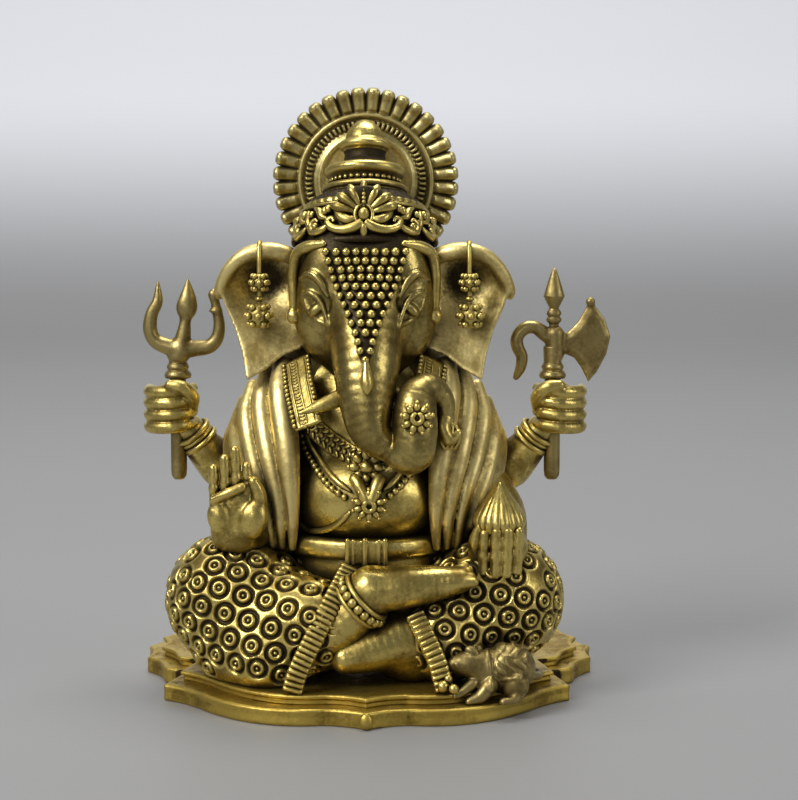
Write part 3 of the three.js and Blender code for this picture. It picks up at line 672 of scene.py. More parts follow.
def lumps(size, height, seed):
    """A gentle unevenness of cast metal, as a height over a mesh's points."""
    waves = np.random.default_rng(seed).normal(size=(7, 3)) / size
    phases = np.arange(7) * 1.7

    def at(p):
        return height * np.mean([np.sin(p @ w + f) for w, f in zip(waves, phases)], axis=0)

    return at


lower_tier = relief(lower_tier, lumps(2.2, 0.09, 3))
upper_tier = relief(upper_tier, lumps(2.0, 0.08, 4))
piece("plinth_lower_tier", lower_tier, "plinth", "plinth_plate", at=np.zeros(3))
piece("plinth_upper_tier", upper_tier, "plinth", "plinth_step", at=np.zeros(3))
tip_boss = egg((0, plate_low[1] + 0.2, top * 0.5), (1.3, 0.9, top * 0.5))
near_tip = np.array([-2, plate_low[1] - 2, -0.2]), np.array([2, plate_low[1] + 2, top + 0.5])
piece("plinth_tip_boss", sculpt(tip_boss, near_tip, 0.2), "plinth", at=np.zeros(3))

# ---------------------------------------------------------------- legs under the skirt
LEFT, RIGHT = 1, -1  # the figure's own left is at +x


def at_side(side):
    return lambda x, y, z: (side * x, y, z)


def skirt_field(side):
    at = at_side(side)
    parts = [egg(at(26, -7, 14), (13.6, 13.4, 13.2)), tube([at(8, 6, 12), at(21, -3, 14)], [11.6, 12])]
    if side == RIGHT:
        parts += [tube([at(22, -10, 12.4), at(10, -18.2, 11)], [10.8, 9.2]),
                  tube([at(23, -12, 7), at(18.5, -17.2, 5.2)], [11.0, 9.2])]
    else:
        parts += [tube([at(22, -10, 12.4), at(15.4, -16.6, 8.6)], [10.8, 9.2])]
    return above(fuse(2.5, *parts), 0.05)


def dot_places(field, seed, pitch, keep):
    """Points spread over a field in a near-hexagonal net, grown outwards from a seed."""
    placed = [settle(field, np.array([seed], float))[0]]
    turns = np.radians(np.arange(6) * 60 + 12)
    i = 0
    while i < len(placed) and len(placed) < 260:
        p = placed[i]
        out = slope(field, p)[0]
        level = unit(np.cross(out, (0, 0, 1)))
        steep = np.cross(level, out)
        around_p = p + pitch * (np.cos(turns)[:, None] * level + np.sin(turns)[:, None] * steep)
        for q in settle(field, around_p):
            if keep(q) and min(np.linalg.norm(np.array(placed) - q, axis=1)) > pitch * 0.86:
                placed.append(q)
        i += 1
    return np.array(placed)


def nearest(p, places):
    """The distance from each point to the nearest of some places."""
    best = np.full(len(p), 1e9)
    for q in places:
        best = np.minimum(best, np.linalg.norm(p - q, axis=1))
    return best


DOT_PITCH = 5.1


def dot_height(p, places):
    """A carved roundel at each place: a pip in a ring in a deep groove."""
    r = nearest(p, places)
    marks = [0, 0.24, 0.42, 0.6, 0.78, 1.0, 1.22, 1.4, 1.6, 1.98, 2.16, 2.4, 9]
    heights = [0.1, 0.04, -0.45, -0.45, 0.08, 0.2, 0.14, -0.2, -0.8, -0.8, -0.4, 0.04, 0]
    return np.interp(r, marks, heights)


for side, word, seed in ((RIGHT, "right", (-27, -21, 14)), (LEFT, "left", (28, -20, 13))):
    field = skirt_field(side)
    shape = sculpt(field, around(word + "_skirt", margin=1.5), 0.23)
    spots = dot_places(field, seed, DOT_PITCH, lambda q: q[2] > 2.0 and q[1] < 24)
    shape = relief(shape, lambda p: dot_height(p, spots) * fade_in(p[:, 2], 0.3, 0.6))
    piece(word + "_thigh", shape, "ornament", word + "_skirt", rounds=10)


def ribbed_hem(path, width, ribs):
    """A flat band with cross ribs, from under the belt to the floor."""
    section = bar(24, 0.35, 0.6)

    def shape(u):
        rib = abs(math.sin(u * ribs * math.pi)) ** 0.7
        return section * (width / 2 * (0.94 + 0.06 * rib), 0.55 + 0.6 * rib)

    return sweep(path, shape, per=ribs * 4, facing=(0, -1, 0.35))


right_band = [
    (-2.6, -18.4, 22.4), (-5.6, -23.6, 17.6), (-9.4, -27.0, 10.6), (-12.4, -28.6, 4.4), (-13.6, -28.8, 0.4),
]
left_band = [(9.8, -22.4, 14.2), (12.0, -25.4, 10.2), (14.0, -27.2, 6.0), (15.6, -28.0, 0.4)]
piece("right_hem_band", ribbed_hem(right_band, 4.0, 25), "ornament", "right_hem", rounds=6)
piece("left_hem_band", ribbed_hem(left_band, 3.8, 14), "ornament", "left_hem", rounds=6)

upper_foot = fuse(
    1.6,
    tube([(-13, -17, 7.5), (-6.5, -20.4, 10.2), (-0.4, -21.6, 16)], [6.2, 5.6, 4.5]),
    tube([(1.6, -21.6, 18.6), (6.5, -21.8, 19.2), (12.5, -21.4, 19.8), (18.5, -20.6, 20.4)],
         [4.4, 4.3, 3.7, 2.5]),
    egg((1.2, -21.4, 19.2), (3.9, 4.2, 4.0)),
)
toes = [tube([(17.0 + 0.3 * i, -22.4 + 1.0 * i, 20.2 + 0.7 * i),
              (21.2 - 0.5 * i, -22.4 + 1.2 * i, 20.4 + 0.9 * i)],
             [1.25 - 0.12 * i, 1.0 - 0.1 * i]) for i in range(4)]
upper_foot = fuse(0.5, upper_foot, *toes)
piece("right_foot", sculpt(above(upper_foot, 0.05), around("right_leg"), 0.28), "skin", "right_leg")
lower_foot = fuse(
    1.6,
    tube([(15, -15.4, 8.6), (8.5, -18.4, 8.4), (1.5, -21.4, 6.8), (-3.6, -23.4, 5.6)],
         [7.2, 5.9, 4.3, 2.9]),
    egg((9.0, -17.5, 6.0), (8.0, 5.6, 6.6)),
)
piece("left_foot", sculpt(above(lower_foot, 0.05), around("left_leg"), 0.3), "skin", "left_leg")

# ---------------------------------------------------------------- trunk of the body
chest = fuse(
    3.0,
    egg((0.2, 3.0, 48), (15.5, 12.5, 11.5)),
    egg((0, 4, 56), (19, 8.5, 7.5)),
    egg((0, 3, 62), (9, 8, 8)),
)
belly_low, belly_high = around("torso", margin=0)
belly = egg((0.8, 0.2, 34.4), (16.9, belly_low[1] * -1 + 0.2, 11.8))
hips = egg((0.6, 2.5, 21), (18, 15.5, 9.5))
lap = egg((2.0, -7.0, 10.5), (12, 9.5, 10))
body_field = fuse(1.2, fuse(3.5, chest, belly), hips, lap)


def back_folds(p):
    """Shallow folds of the shawl where it hangs across the back."""
    behind = fade_in(p[:, 1], 3, 4) * fade_in(p[:, 2], 29, 3) * fade_in(-p[:, 2], -64, 4)
    swag = p[:, 2] * 1.5 - 0.035 * p[:, 0] ** 2
    return behind * 0.5 * (1 - np.abs(np.sin(swag * 0.42))) ** 1.5


body_mesh = relief(sculpt(above(body_field, 0.3), around("torso", margin=1.5), 0.42), back_folds)
piece("body", body_mesh, "skin", "torso")

belt_up = 25.2
belt_profile = [(13, -2.0), (17.5, -2.0), (18.2, -1.4), (18.5, 0), (18.2, 1.4), (17.5, 2.0), (13, 2.0)]
belt_ring = lathe(rounded(belt_profile, 0.6), 160, at=(0.2, 1.6, belt_up), squash=0.97)
piece("belt", belt_ring, "skin", "waist_belt")
buckle_low, buckle_high = around("belt_buckle", margin=0)
buckle_mid = (buckle_low + buckle_high) / 2
buckle_half = (buckle_high - buckle_low) / 2
buckle_bars = []
for x, w in ((-3.6, 0.5), (-2.5, 0.32), (-0.2, 0.6), (2.6, 0.32), (3.7, 0.5)):
    ends = [(buckle_mid[0] + x, buckle_low[1] + 0.1, buckle_mid[2] + z) for z in (-2.4, 2.4)]
    buckle_bars.append(tube(ends, w, per=1))
buckle_face = fuse(0.2, block(buckle_mid, buckle_half * (0.97, 1, 0.9), 0.5), *buckle_bars)
piece("belt_clasp", sculpt(buckle_face, (buckle_low - 1, buckle_high + 1), 0.18), "ornament", "belt_buckle")

# ---------------------------------------------------------------- head and trunk
TRUNK = [
    (0.4, -8.4, 72), (0.5, -13.6, 64), (0.5, -17.6, 56.5), (0.9, -19.8, 50.8), (2.4, -20.0, 48.0),
    (5.4, -19.4, 46.2), (8.8, -20.6, 45.2), (9.8, -20.6, 48.4), (9.9, -19.4, 53.0), (10.5, -17.8, 56.0),
    (13.0, -15.8, 57.2), (15.4, -14.8, 54.8), (15.8, -14.6, 51.4),
]
TRUNK_RADII = [8.0, 6.9, 5.6, 4.3, 3.6, 3.1, 4.2, 4.35, 4.2, 3.6, 2.8, 2.2, 1.9]
skull = egg((0, 0, 75.6), (13.8, 12.5, 14))
cheeks = egg((0.2, -4.0, 66), (9.6, 8.4, 10.4))
face_field = fuse(
    3.5,
    fuse(5.0, skull, cheeks),
    egg((-4.6, -8.2, 81), (6.4, 4.4, 7.0)),
    egg((5.0, -8.2, 81), (6.4, 4.4, 7.0)),
    egg((-8.4, -5.6, 68), (4.2, 4.4, 6.4)),
    egg((8.8, -5.6, 68), (4.2, 4.4, 6.4)),
    egg((-7.6, -5.6, 73.5), (5.8, 6.2, 9.0)),
    egg((8.0, -5.6, 73.5), (5.8, 6.2, 9.0)),
)
trunk_field = tube(TRUNK, TRUNK_RADII, per=4)
face_and_trunk = fuse(2.6, face_field, trunk_field)


def eye_fields(side):
    """Parts of an almond eye laid on the face: the hollow, then the ball, lids and brow."""

    def spot(pairs, out):
        return front(face_and_trunk, [(side * a, b) for a, b in pairs], out=out)

    middle = spot([(9.2, 72.2)], -0.3)[0]
    slant = 48 * side
    ball = egg(middle, (1.05, 1.2, 2.1), (0, -slant, 0))
    hollow = egg(spot([(9.2, 72.3)], 1.22)[0], (2.5, 1.3, 3.9), (0, -slant, 0))
    lids = [
        tube(spot([(12.0, 75.2), (10.2, 75.2), (8.2, 73.4), (6.8, 69.2)], 0.15), [0.25, 0.5, 0.5, 0.3]),
        tube(spot([(12.0, 75.2), (11.0, 72.2), (9.0, 70.0), (6.8, 69.2)], 0.0), [0.25, 0.42, 0.42, 0.3]),
        tube(spot([(12.4, 77.8), (10.4, 79.0), (8.4, 77.6), (6.9, 74.6)], 0.15), [0.35, 0.75, 0.8, 0.3]),
    ]
    return hollow, ball, lids


parts = [eye_fields(RIGHT), eye_fields(LEFT)]
eyes = [f for _, ball, lids in parts for f in (ball, *lids)]
head_field = fuse(0.35, carve(0.8, face_and_trunk, *[p[0] for p in parts]), *eyes)
trunk_line, _ = smooth_path(TRUNK, 1.0, 8)
trunk_length = lengths_along(trunk_line)


def trunk_wrinkles(p):
    """Fine creases across the trunk, deeper towards its tip."""
    best, place = np.full(len(p), 1e9), np.zeros(len(p))
    for q, s in zip(trunk_line, trunk_length):
        d = np.linalg.norm(p - q, axis=1)
        place = np.where(d < best, s, place)
        best = np.minimum(best, d)
    deep = np.interp(place, [0, 20, 30, 42, 64], [0, 0.0, 0.015, 0.05, 0.06]) * (best < 6)
    return -deep * np.clip(np.cos(place * 2 * math.pi / 2.1 + 0.9 * np.sin(p[:, 0] * 0.8)), 0, 1) ** 3


NET_TOP, NET_FOOT, NET_MIDDLE = 83.8, 62.8, 0.35
NET_HEIGHTS, NET_HALVES = [62.8, 64.0, 67.8, 72.1, 75.4, 78.7, 83.8], [0.3, 0.8, 1.75, 3.5, 5.0, 6.4, 7.8]


def net_half(z):
    """Half the width of the forehead's bead net at a height."""
    return np.interp(z, NET_HEIGHTS, NET_HALVES)


def net_ground(p):
    """Darkens the forehead between the beads of its net."""
    inside = fade_in(net_half(p[:, 2]) + 0.7 - np.abs(p[:, 0] - NET_MIDDLE), 0, 0.5)
    return 0.5 * inside * (p[:, 2] > NET_FOOT) * (p[:, 1] < -4)


head_mesh = relief(sculpt(head_field, around("head", "trunk", margin=1.5), 0.3), trunk_wrinkles)
piece("head_and_trunk", head_mesh, "face", "head", "trunk", dark=net_ground)
tip_curl = tube([(15.6, -14.8, 51.2), (15.3, -15.6, 49.4), (16.6, -16.2, 47.2), (18.2, -15.8, 48.4)],
                [1.9, 1.6, 1.3, 0.9])
sweet_ribs = [tube([(16.6 + x, -15.6, 50.2), (16.6 + 1.7 * x, -16.2, 47.6), (16.6 + x, -15.4, 45.4)], 0.35)
              for x in (-1.0, -0.3, 0.4, 1.1)]
sweet_ball = fuse(0.15, egg((16.6, -14.2, 47.6), (2.0, 1.9, 2.3)), *sweet_ribs)
piece("trunk_tip", sculpt(tip_curl, (np.array([12, -19, 44.]), np.array([20.5, -12, 54.])), 0.22), "skin")
piece("held_sweet", sculpt(sweet_ball, around("trunk_sweet", margin=2), 0.18), "ornament", "trunk_sweet")
whole_tusk = tube([(-4.4, -16.6, 55.5), (-8.4, -17.7, 54.0), (-12.2, -18.6, 52.7)], [1.8, 1.25, 0.35])
piece("right_tusk_cone", sculpt(whole_tusk, around("right_tusk"), 0.2), "skin", "right_tusk")
broken_tusk = tube([(4.8, -14.4, 57), (7.0, -17.6, 56.0)], [1.5, 1.0])
piece("left_tusk_cap", sculpt(broken_tusk, around("left_tusk_stump"), 0.2), "skin", "left_tusk_stump")

# the net of beads on the forehead, and its drop
NET_ROWS = 13
net_points, net_sizes = [], []
for row in range(NET_ROWS):
    z = NET_TOP - 0.6 - (NET_TOP - NET_FOOT - 0.9) * row / (NET_ROWS - 1)
    half = net_half(z) - 0.1
    count = max(1 + (row < NET_ROWS - 2), round(2 * half / 1.8) + 1)
    for k in range(count):
        net_points.append((NET_MIDDLE + half * ((2 * k / (count - 1) - 1) if count > 1 else 0), z))
        net_sizes.append(0.88 if 0 < k < count - 1 else 0.76)
on_brow = front(head_field, net_points, out=0.5)
piece("forehead_beads", balls(on_brow, np.array(net_sizes), 12), "ornament", "forehead_net")
drop_line = front(head_field, [(0.5, 62.6), (0.6, 60.6), (0.7, 58.8), (0.75, 57.4)], out=0.5)
near_drop = drop_line.min(0) - 2, drop_line.max(0) + 2
drop = tube(drop_line, [0.6, 1.0, 1.25, 0.6])
piece("brow_drop", sculpt(drop, near_drop, 0.16), "ornament", "forehead_drop")


def temple_cord(side):
    """The edge of the crown's lining in front of an ear, which ends in a small ball."""
    at = at_side(side)
    down = np.array([at(7.8, -11.4, 84.8), at(10.6, -9.4, 84.2), at(13.0, -7.6, 82.6),
                     at(13.9, -7.2, 79), at(13.9, -7.4, 75), at(13.8, -7.4, 71.6)])
    return fuse(0.3, tube(down, [0.7, 1.15, 1.2, 1.1, 1.0, 0.95]),
                egg(down[-1] + (0, -0.2, -1.2), (1.5, 1.4, 1.6)))


for side, word in ((RIGHT, "right"), (LEFT, "left")):
    near_temple = np.array([side * 11 - 6.0, -18, 66]), np.array([side * 11 + 6.0, 5, 88])
    piece(word + "_temple_cord", sculpt(temple_cord(side), near_temple, 0.22), "skin")

# ---------------------------------------------------------------- ears
def ear_field():
    """A cupped fan with a thick rolled rim, on the figure's left."""
    rim_path = [
        (12.6, -2.0, 80.6), (15.4, -3.0, 82.2), (19.4, -3.6, 82.9), (23.6, -3.4, 81.9), (26.8, -2.6, 79.0),
        (28.8, -1.4, 75.2), (29.0, -0.6, 73.4),
    ]
    rim = tube(rim_path, [1.5, 1.7, 1.75, 1.6, 1.4, 1.1, 0.5])
    edge = np.array([
        (12, 81), (15.4, 82.6), (19.4, 83.4), (23.6, 82.4), (26.8, 79.4), (28.8, 75.2), (27.6, 71.8),
        (25.6, 67.4), (24.0, 62.4), (23.2, 57.6), (19.6, 59.6), (15.8, 62.4), (12.6, 63.6), (8, 66), (8, 80),
    ], float)

    def fan(p):
        x, z = p[:, 0], p[:, 2]
        cup = 5.4 * np.exp(-(((x - 19.5) / 7.0) ** 2 + ((z - 77.0) / 6.5) ** 2)) - 0.045 * (x - 12)
        lip = 4.4 * np.exp(-((z - 55) / 8.5) ** 2)
        sheet = np.abs(p[:, 1] - (cup - 2.0 - lip)) * 0.8 - 0.75
        return np.maximum(outline_distance(p, edge), sheet)

    root = tube([(11.8, -1.0, 80), (12.2, -1.6, 72), (12.2, -1.4, 65)], [2.2, 2.0, 1.4])
    return fuse(1.0, fan, rim, root)


def ear_hollow(p):
    """The dark hollow under an ear's rim, behind its drop."""
    return 0.34 * np.exp(-(((np.abs(p[:, 0]) - 19.8) / 4.4) ** 2 + ((p[:, 2] - 77.0) / 4.6) ** 2))


left_ear_field = ear_field()
for side, word in ((RIGHT, "right"), (LEFT, "left")):
    field = left_ear_field if side == LEFT else flip(left_ear_field)
    low, high = around(word + "_ear", margin=3)
    piece(word + "_ear_fan", sculpt(field, (low, high), 0.3), "sheet", word + "_ear", dark=ear_hollow)
    at = at_side(side)
    x = 20.6
    loop = cord_mesh([at(x, -0.4, 84.0), at(x, -4.4, 84.6), at(x, -5.9, 82.6), at(x, -6.4, 79.4),
                      at(x, -6.6, 74), at(x, -6.8, 70)], 0.45)
    lumps_at = [(at(x, -6.4, 76.9), 1.8, 0.95), (at(x + 0.2, -6.8, 70.4), 2.5, 1.15)]
    flowers = [loop]
    for centre, reach, size in lumps_at:
        flowers.append(blob(centre, np.eye(3) * (reach * 0.85, reach * 0.75, reach)))
        for ring_up, many, share in ((0.62, 5, 0.78), (0.0, 7, 1.0), (-0.62, 5, 0.78)):
            for k in range(many):
                a = 2 * math.pi * (k + 0.5 * (ring_up != 0)) / many
                spot = np.array(centre) + (reach * share * math.sin(a) * 0.95,
                                           -reach * share * math.cos(a) * 0.85, reach * ring_up * 1.1)
                flowers.append(blob(spot, np.eye(3) * size * 0.62, 8))
        flowers.append(blob(np.array(centre) + (0, -reach * 0.95, 0), np.eye(3) * size * 0.6, 8))
    flowers.append(blob(at(x, -6.7, 73.7), np.eye(3) * (0.9, 0.9, 0.6), 8))
    piece(word + "_ear_drop", merge(*flowers), "ornament", word + "_earring")

# ---------------------------------------------------------------- crown
CROWN_FOOT, LEAN = np.array([0, 0.5, 82.4]), 15.0
BAND_FOOT_RADIUS, BAND_TOP_RADIUS, BAND_HEIGHT = 13.9, 12.7, 7.8


def lean_back(p):
    c, s = math.cos(math.radians(LEAN)), math.sin(math.radians(LEAN))
    p = np.atleast_2d(np.array(p, float))
    return np.stack([p[:, 0], p[:, 1] * c + p[:, 2] * s, -p[:, 1] * s + p[:, 2] * c], axis=1) + CROWN_FOOT


def on_band(pairs, out=0.0):
    """Points on the crown's band, from distances round it, measured from its front, and up it."""
    pairs = np.array(pairs, float)
    a = pairs[:, 0] / BAND_FOOT_RADIUS
    r = np.interp(pairs[:, 1], [0, BAND_HEIGHT], [BAND_FOOT_RADIUS, BAND_TOP_RADIUS]) + out
    return lean_back(np.stack([r * np.sin(a), -r * np.cos(a), pairs[:, 1]], axis=1))


band_profile = rounded([
    (10, -0.6), (13.5, -0.6), (13.8, 0.1), (13.5, 0.8), (13.0, 1.1), (12.9, 1.9), (12.3, 6.9), (12.9, 7.3),
    (12.9, 7.9), (10, 7.9),
], 0.3)
band_parts = [lathe(band_profile, 144, CROWN_FOOT, LEAN)]


def band_cord(pairs, radii, out):
    """A cord that lies on the band and thins to its ends."""
    path, size = smooth_path(on_band(pairs, out), radii, 6)
    middle = lean_back([(0, 0, 4)])[0]
    facing = unit(path - middle)
    ring = circle(8)
    along = unit(np.gradient(path, axis=0))
    across = unit(np.cross(facing, along))
    outward = np.cross(along, across)
    rings = [p + r * (ring[:, :1] * s + ring[:, 1:] * o) for p, s, o, r in zip(path, across, outward, size)]
    return rings_mesh(rings)


# Scrolls of the band, each as its places round and up the band and its radii there. The first two spring
# from the crest's foot, and the others repeat round each side.
CREST_SCROLLS = [
    ([(0.3, 3.2), (2.0, 2.2), (4.4, 1.8), (6.6, 2.5), (7.5, 3.8), (6.5, 4.3), (6.0, 3.4)],
     [0.95, 1.0, 0.9, 0.8, 0.65, 0.5, 0.4]),
    ([(0.9, 4.2), (3.0, 3.7), (4.8, 4.7), (6.2, 6.1)], [0.35, 1.0, 0.9, 0.2]),
]
SIDE_SCROLLS = [
    ([(-2.6, 3.2), (-1.2, 2.2), (1.2, 1.9), (2.2, 3.3), (1.2, 4.4), (0.2, 3.9)],
     [0.4, 0.75, 0.8, 0.7, 0.5, 0.3]),
    ([(-2.2, 4.4), (-0.8, 4.9), (0.2, 6.2), (1.6, 6.9)], [0.3, 0.8, 0.7, 0.25]),
    ([(2.6, 2.6), (3.1, 4.4), (3.7, 6.6)], [0.35, 0.8, 0.3]),
]
SIDE_BERRIES = [(-1.6, 5.9), (0.6, 3.0), (2.1, 5.6)]
for s in (1, -1):
    band_parts += [band_cord([(s * x, h) for x, h in line], size, 0.4) for line, size in CREST_SCROLLS]
    band_parts.append(balls(on_band([(s * 7.4, 6.2)], 0.5), 0.85, 12))
    for start in np.arange(9.8, 41.0, 6.2):
        for v, (x, h) in enumerate(SIDE_BERRIES):
            band_parts.append(balls(on_band([(s * (start + x), h)], 0.45), 0.88 - 0.08 * v, 10))
        for line, size in SIDE_SCROLLS:
            band_parts.append(band_cord([(s * (start + x), h) for x, h in line], size, 0.3))


def crown_ground(*bands):
    """Darkens the turned ground of the crown inside bands of height, up to a radius at each."""

    def dark(p):
        c, s = math.cos(math.radians(LEAN)), math.sin(math.radians(LEAN))
        x, y, z = (p - CROWN_FOOT).T
        h, r = y * s + z * c, np.hypot(x, y * c - z * s)
        return 0.3 * np.any([(h > low) & (h < high) & (r < limit - slope_in * h)
                             for low, high, limit, slope_in in bands], axis=0)

    return dark


piece("crown_scroll_band", merge(*band_parts), "ornament", "crown_band", rounds=5,
      dark=crown_ground((-1.0, 0.8, 14.5, 0), (0.8, 7.0, 13.5, 0.12)))

boss_up = 4.6
crest_parts = []
crest_plate = egg(lean_back([(0, -11.9, 5.6)])[0], (5.6, 1.3, 5.4), (LEAN, 0, 0))
crest_parts.append(sculpt(crest_plate, around("crown_crest", margin=2), 0.3))


def on_crest(across, up, out=0.0):
    """A point on the face of the crest, which stands up from the band."""
    return lean_back([(across, -13.6 - out + 0.035 * across**2, up)])[0]


for a in (-69, -46, -23, 0, 23, 46, 69):
    reach = 6.2 - 0.4 * abs(a) / 69
    ca, sa = math.cos(math.radians(a)), math.sin(math.radians(a))
    line = [on_crest(r * sa * (1 + 0.1 * r / 5), boss_up + r * ca, out)
            for r, out in ((1.7, 0.1), (3.2, 0.3), (4.9, 0.3), (reach, 0.0))]
    size = [0.4, 0.72, 1.0, 0.6] if a else [0.4, 0.55, 0.75, 0.6]
    near_petal = np.min(line, 0) - 1.5, np.max(line, 0) + 1.5
    crest_parts.append(sculpt(tube(line, size, per=4), near_petal, 0.18))
    if a == 0:
        beads = [on_crest(0, boss_up + r, 0.8) for r in (2.4, 3.2, 4.0, 4.8, 5.6)]
        crest_parts.append(balls(beads, 0.45, 8))
leaning = turned_axes((LEAN, 0, 0)).T
crest_parts.append(blob(on_crest(0, boss_up, 0.6), leaning * np.array([[1.05], [0.95], [1.4]]), 16))
ring_line = [on_crest(1.7 * math.sin(t), boss_up + 2.1 * math.cos(t), 0.35)
             for t in np.linspace(0, 2 * math.pi, 17)]
crest_parts.append(cord_mesh(ring_line, 0.42, 2, 8))
crest_parts.append(blob(on_crest(0, 1.5, 0.2), leaning * np.array([[0.75], [0.6], [1.5]]), 12))
plate_points = len(crest_parts[0][0])
piece("crown_flower", merge(*crest_parts), "ornament", "crown_crest", rounds=5,
      dark=lambda p: 0.3 * (np.arange(len(p)) < plate_points))



def dome_ribs(a, r, h):
    """Fine ribs round the dome, on its foot and its shoulder."""
    return 0.12 * np.cos(a * 40) * (9.8 < h < 11.5 or 8.1 < h < 9.0)


dome_profile = rounded([
    (9, 8.0), (12.2, 8.0), (12.0, 8.9), (10.9, 9.9), (10.2, 10.0), (9.6, 10.7), (8.5, 11.2), (8.0, 11.6),
    (8.5, 12.0), (8.7, 12.6), (8.2, 13.1), (7.2, 13.2), (5, 13.2),
], 0.25)
piece("crown_cap", lathe(dome_profile, 200, CROWN_FOOT, LEAN, wave=dome_ribs), "ornament", "crown_dome",
      rounds=6, dark=crown_ground((9.0, 11.4, 20, 0)))
knop_profile = rounded([
    (4, 13.2), (6.9, 13.2), (6.8, 14.6), (7.2, 14.9), (7.9, 15.3), (8.2, 16.1), (7.8, 16.9), (6.6, 17.3),
    (5.3, 17.6), (4.3, 18.4), (4.0, 19.6), (4.3, 20.4), (5.0, 20.9), (5.2, 21.6), (4.7, 22.2), (4.0, 22.6),
    (3.8, 23.4), (3.4, 24.5), (2.6, 25.6), (1.5, 26.5), (0.2, 26.9),
], 0.4)
bead_turns = np.linspace(0, 2 * math.pi, 34, endpoint=False)
bead_row = lean_back(np.stack([6.95 * np.sin(bead_turns), -6.95 * np.cos(bead_turns),
                               0 * bead_turns + 13.95], axis=1))
piece("crown_knop", merge(lathe(knop_profile, 72, CROWN_FOOT, LEAN), balls(bead_row, 0.58, 8)), "ornament",
      "crown_finial", rounds=6, dark=crown_ground((13.2, 14.6, 7.1, 0), (17.6, 20.2, 20, 0)))

# ---------------------------------------------------------------- halo
halo_radius = (halo_high[0] - halo_low[0]) / 2
halo_up = (halo_low[2] + halo_high[2]) / 2 - ORIGIN[2]
halo_face, halo_rear = halo_low[1], halo_high[1]
FLUTES, TEETH = 36, 72
FLUTE_FOOT = halo_radius * 0.745


def halo_mesh():
    a = np.linspace(0, 2 * math.pi, FLUTES * 16, endpoint=False)
    within = np.abs((a * FLUTES / (2 * math.pi)) % 1 - 0.5) * 2  # 0 in a flute's middle, 1 between two
    edge = halo_radius - 1.3 * within**4
    tooth = np.clip(2.1 - 2.6 * np.abs((a * TEETH / (2 * math.pi)) % 1 - 0.5) * 2, 0, 1)
    marks = halo_radius * np.array(
        [0, 0.34, 0.44, 0.47, 0.5, 0.53, 0.555, 0.57, 0.655, 0.67, 0.695, 0.72, 0.745])
    plain = [0.0, 0.25, 0.3, 0.75, 0.85, 0.45, 0.3, 0.0, 0.0, 0.2, 0.8, 0.8, 0.1]
    rings = []

    def ring_at(radius, height):
        x, z = radius * np.cos(a), halo_up + radius * np.sin(a)
        return np.stack([x, halo_face + 0.5 - height, z], axis=1)

    for r in np.linspace(0.03, 1, 30):
        groove = np.interp(r, [0.4, 0.44, 0.48, 0.68, 0.72, 0.76, 0.95, 1],
                           [0, 0.45, 0, 0, 0.45, 0, 0, 0.3])
        rings.append(np.stack([r * edge * np.cos(a), np.full(len(a), halo_rear - groove),
                               halo_up + r * edge * np.sin(a)], axis=1))
    for r in np.linspace(1, 0, 22):
        radius = FLUTE_FOOT + (edge - FLUTE_FOOT) * r
        body = np.interp(r, [0, 0.1, 0.5, 0.78, 0.92, 1.0], [0.15, 0.5, 0.62, 1.0, 0.9, 0.0])
        bulge = 1.7 * body * np.sqrt(np.clip(1 - (within / 0.86) ** 2, 0, 1))
        rings.append(ring_at(radius, bulge - 0.2 * (within > 0.86) * (r < 0.9)))
    for r in np.linspace(FLUTE_FOOT - 0.1, 0.6, 80):
        height = np.interp(r, marks, plain) + 0 * a
        band = fade_in(r, halo_radius * 0.572, 0.2) * fade_in(-r, -halo_radius * 0.655, 0.2)
        rings.append(ring_at(np.full(len(a), r), height + 0.85 * tooth * band))
    return rings_mesh(rings)


piece("halo_plate", halo_mesh(), "pale", "halo_disc", "halo_ring", "halo_bead_ring", rounds=8)
post_low, post_high = around("halo_post", margin=0)
post_mid = (post_low + post_high) / 2
post = tube([(post_mid[0], post_low[1] - 1, post_mid[2]), (post_mid[0], post_high[1] + 0.5, post_mid[2])],
            (post_high[2] - post_low[2]) / 2)
piece("halo_stub", sculpt(post, (post_low - (1, 4, 1), post_high + (1, 3, 1)), 0.3), "pale", "halo_post")

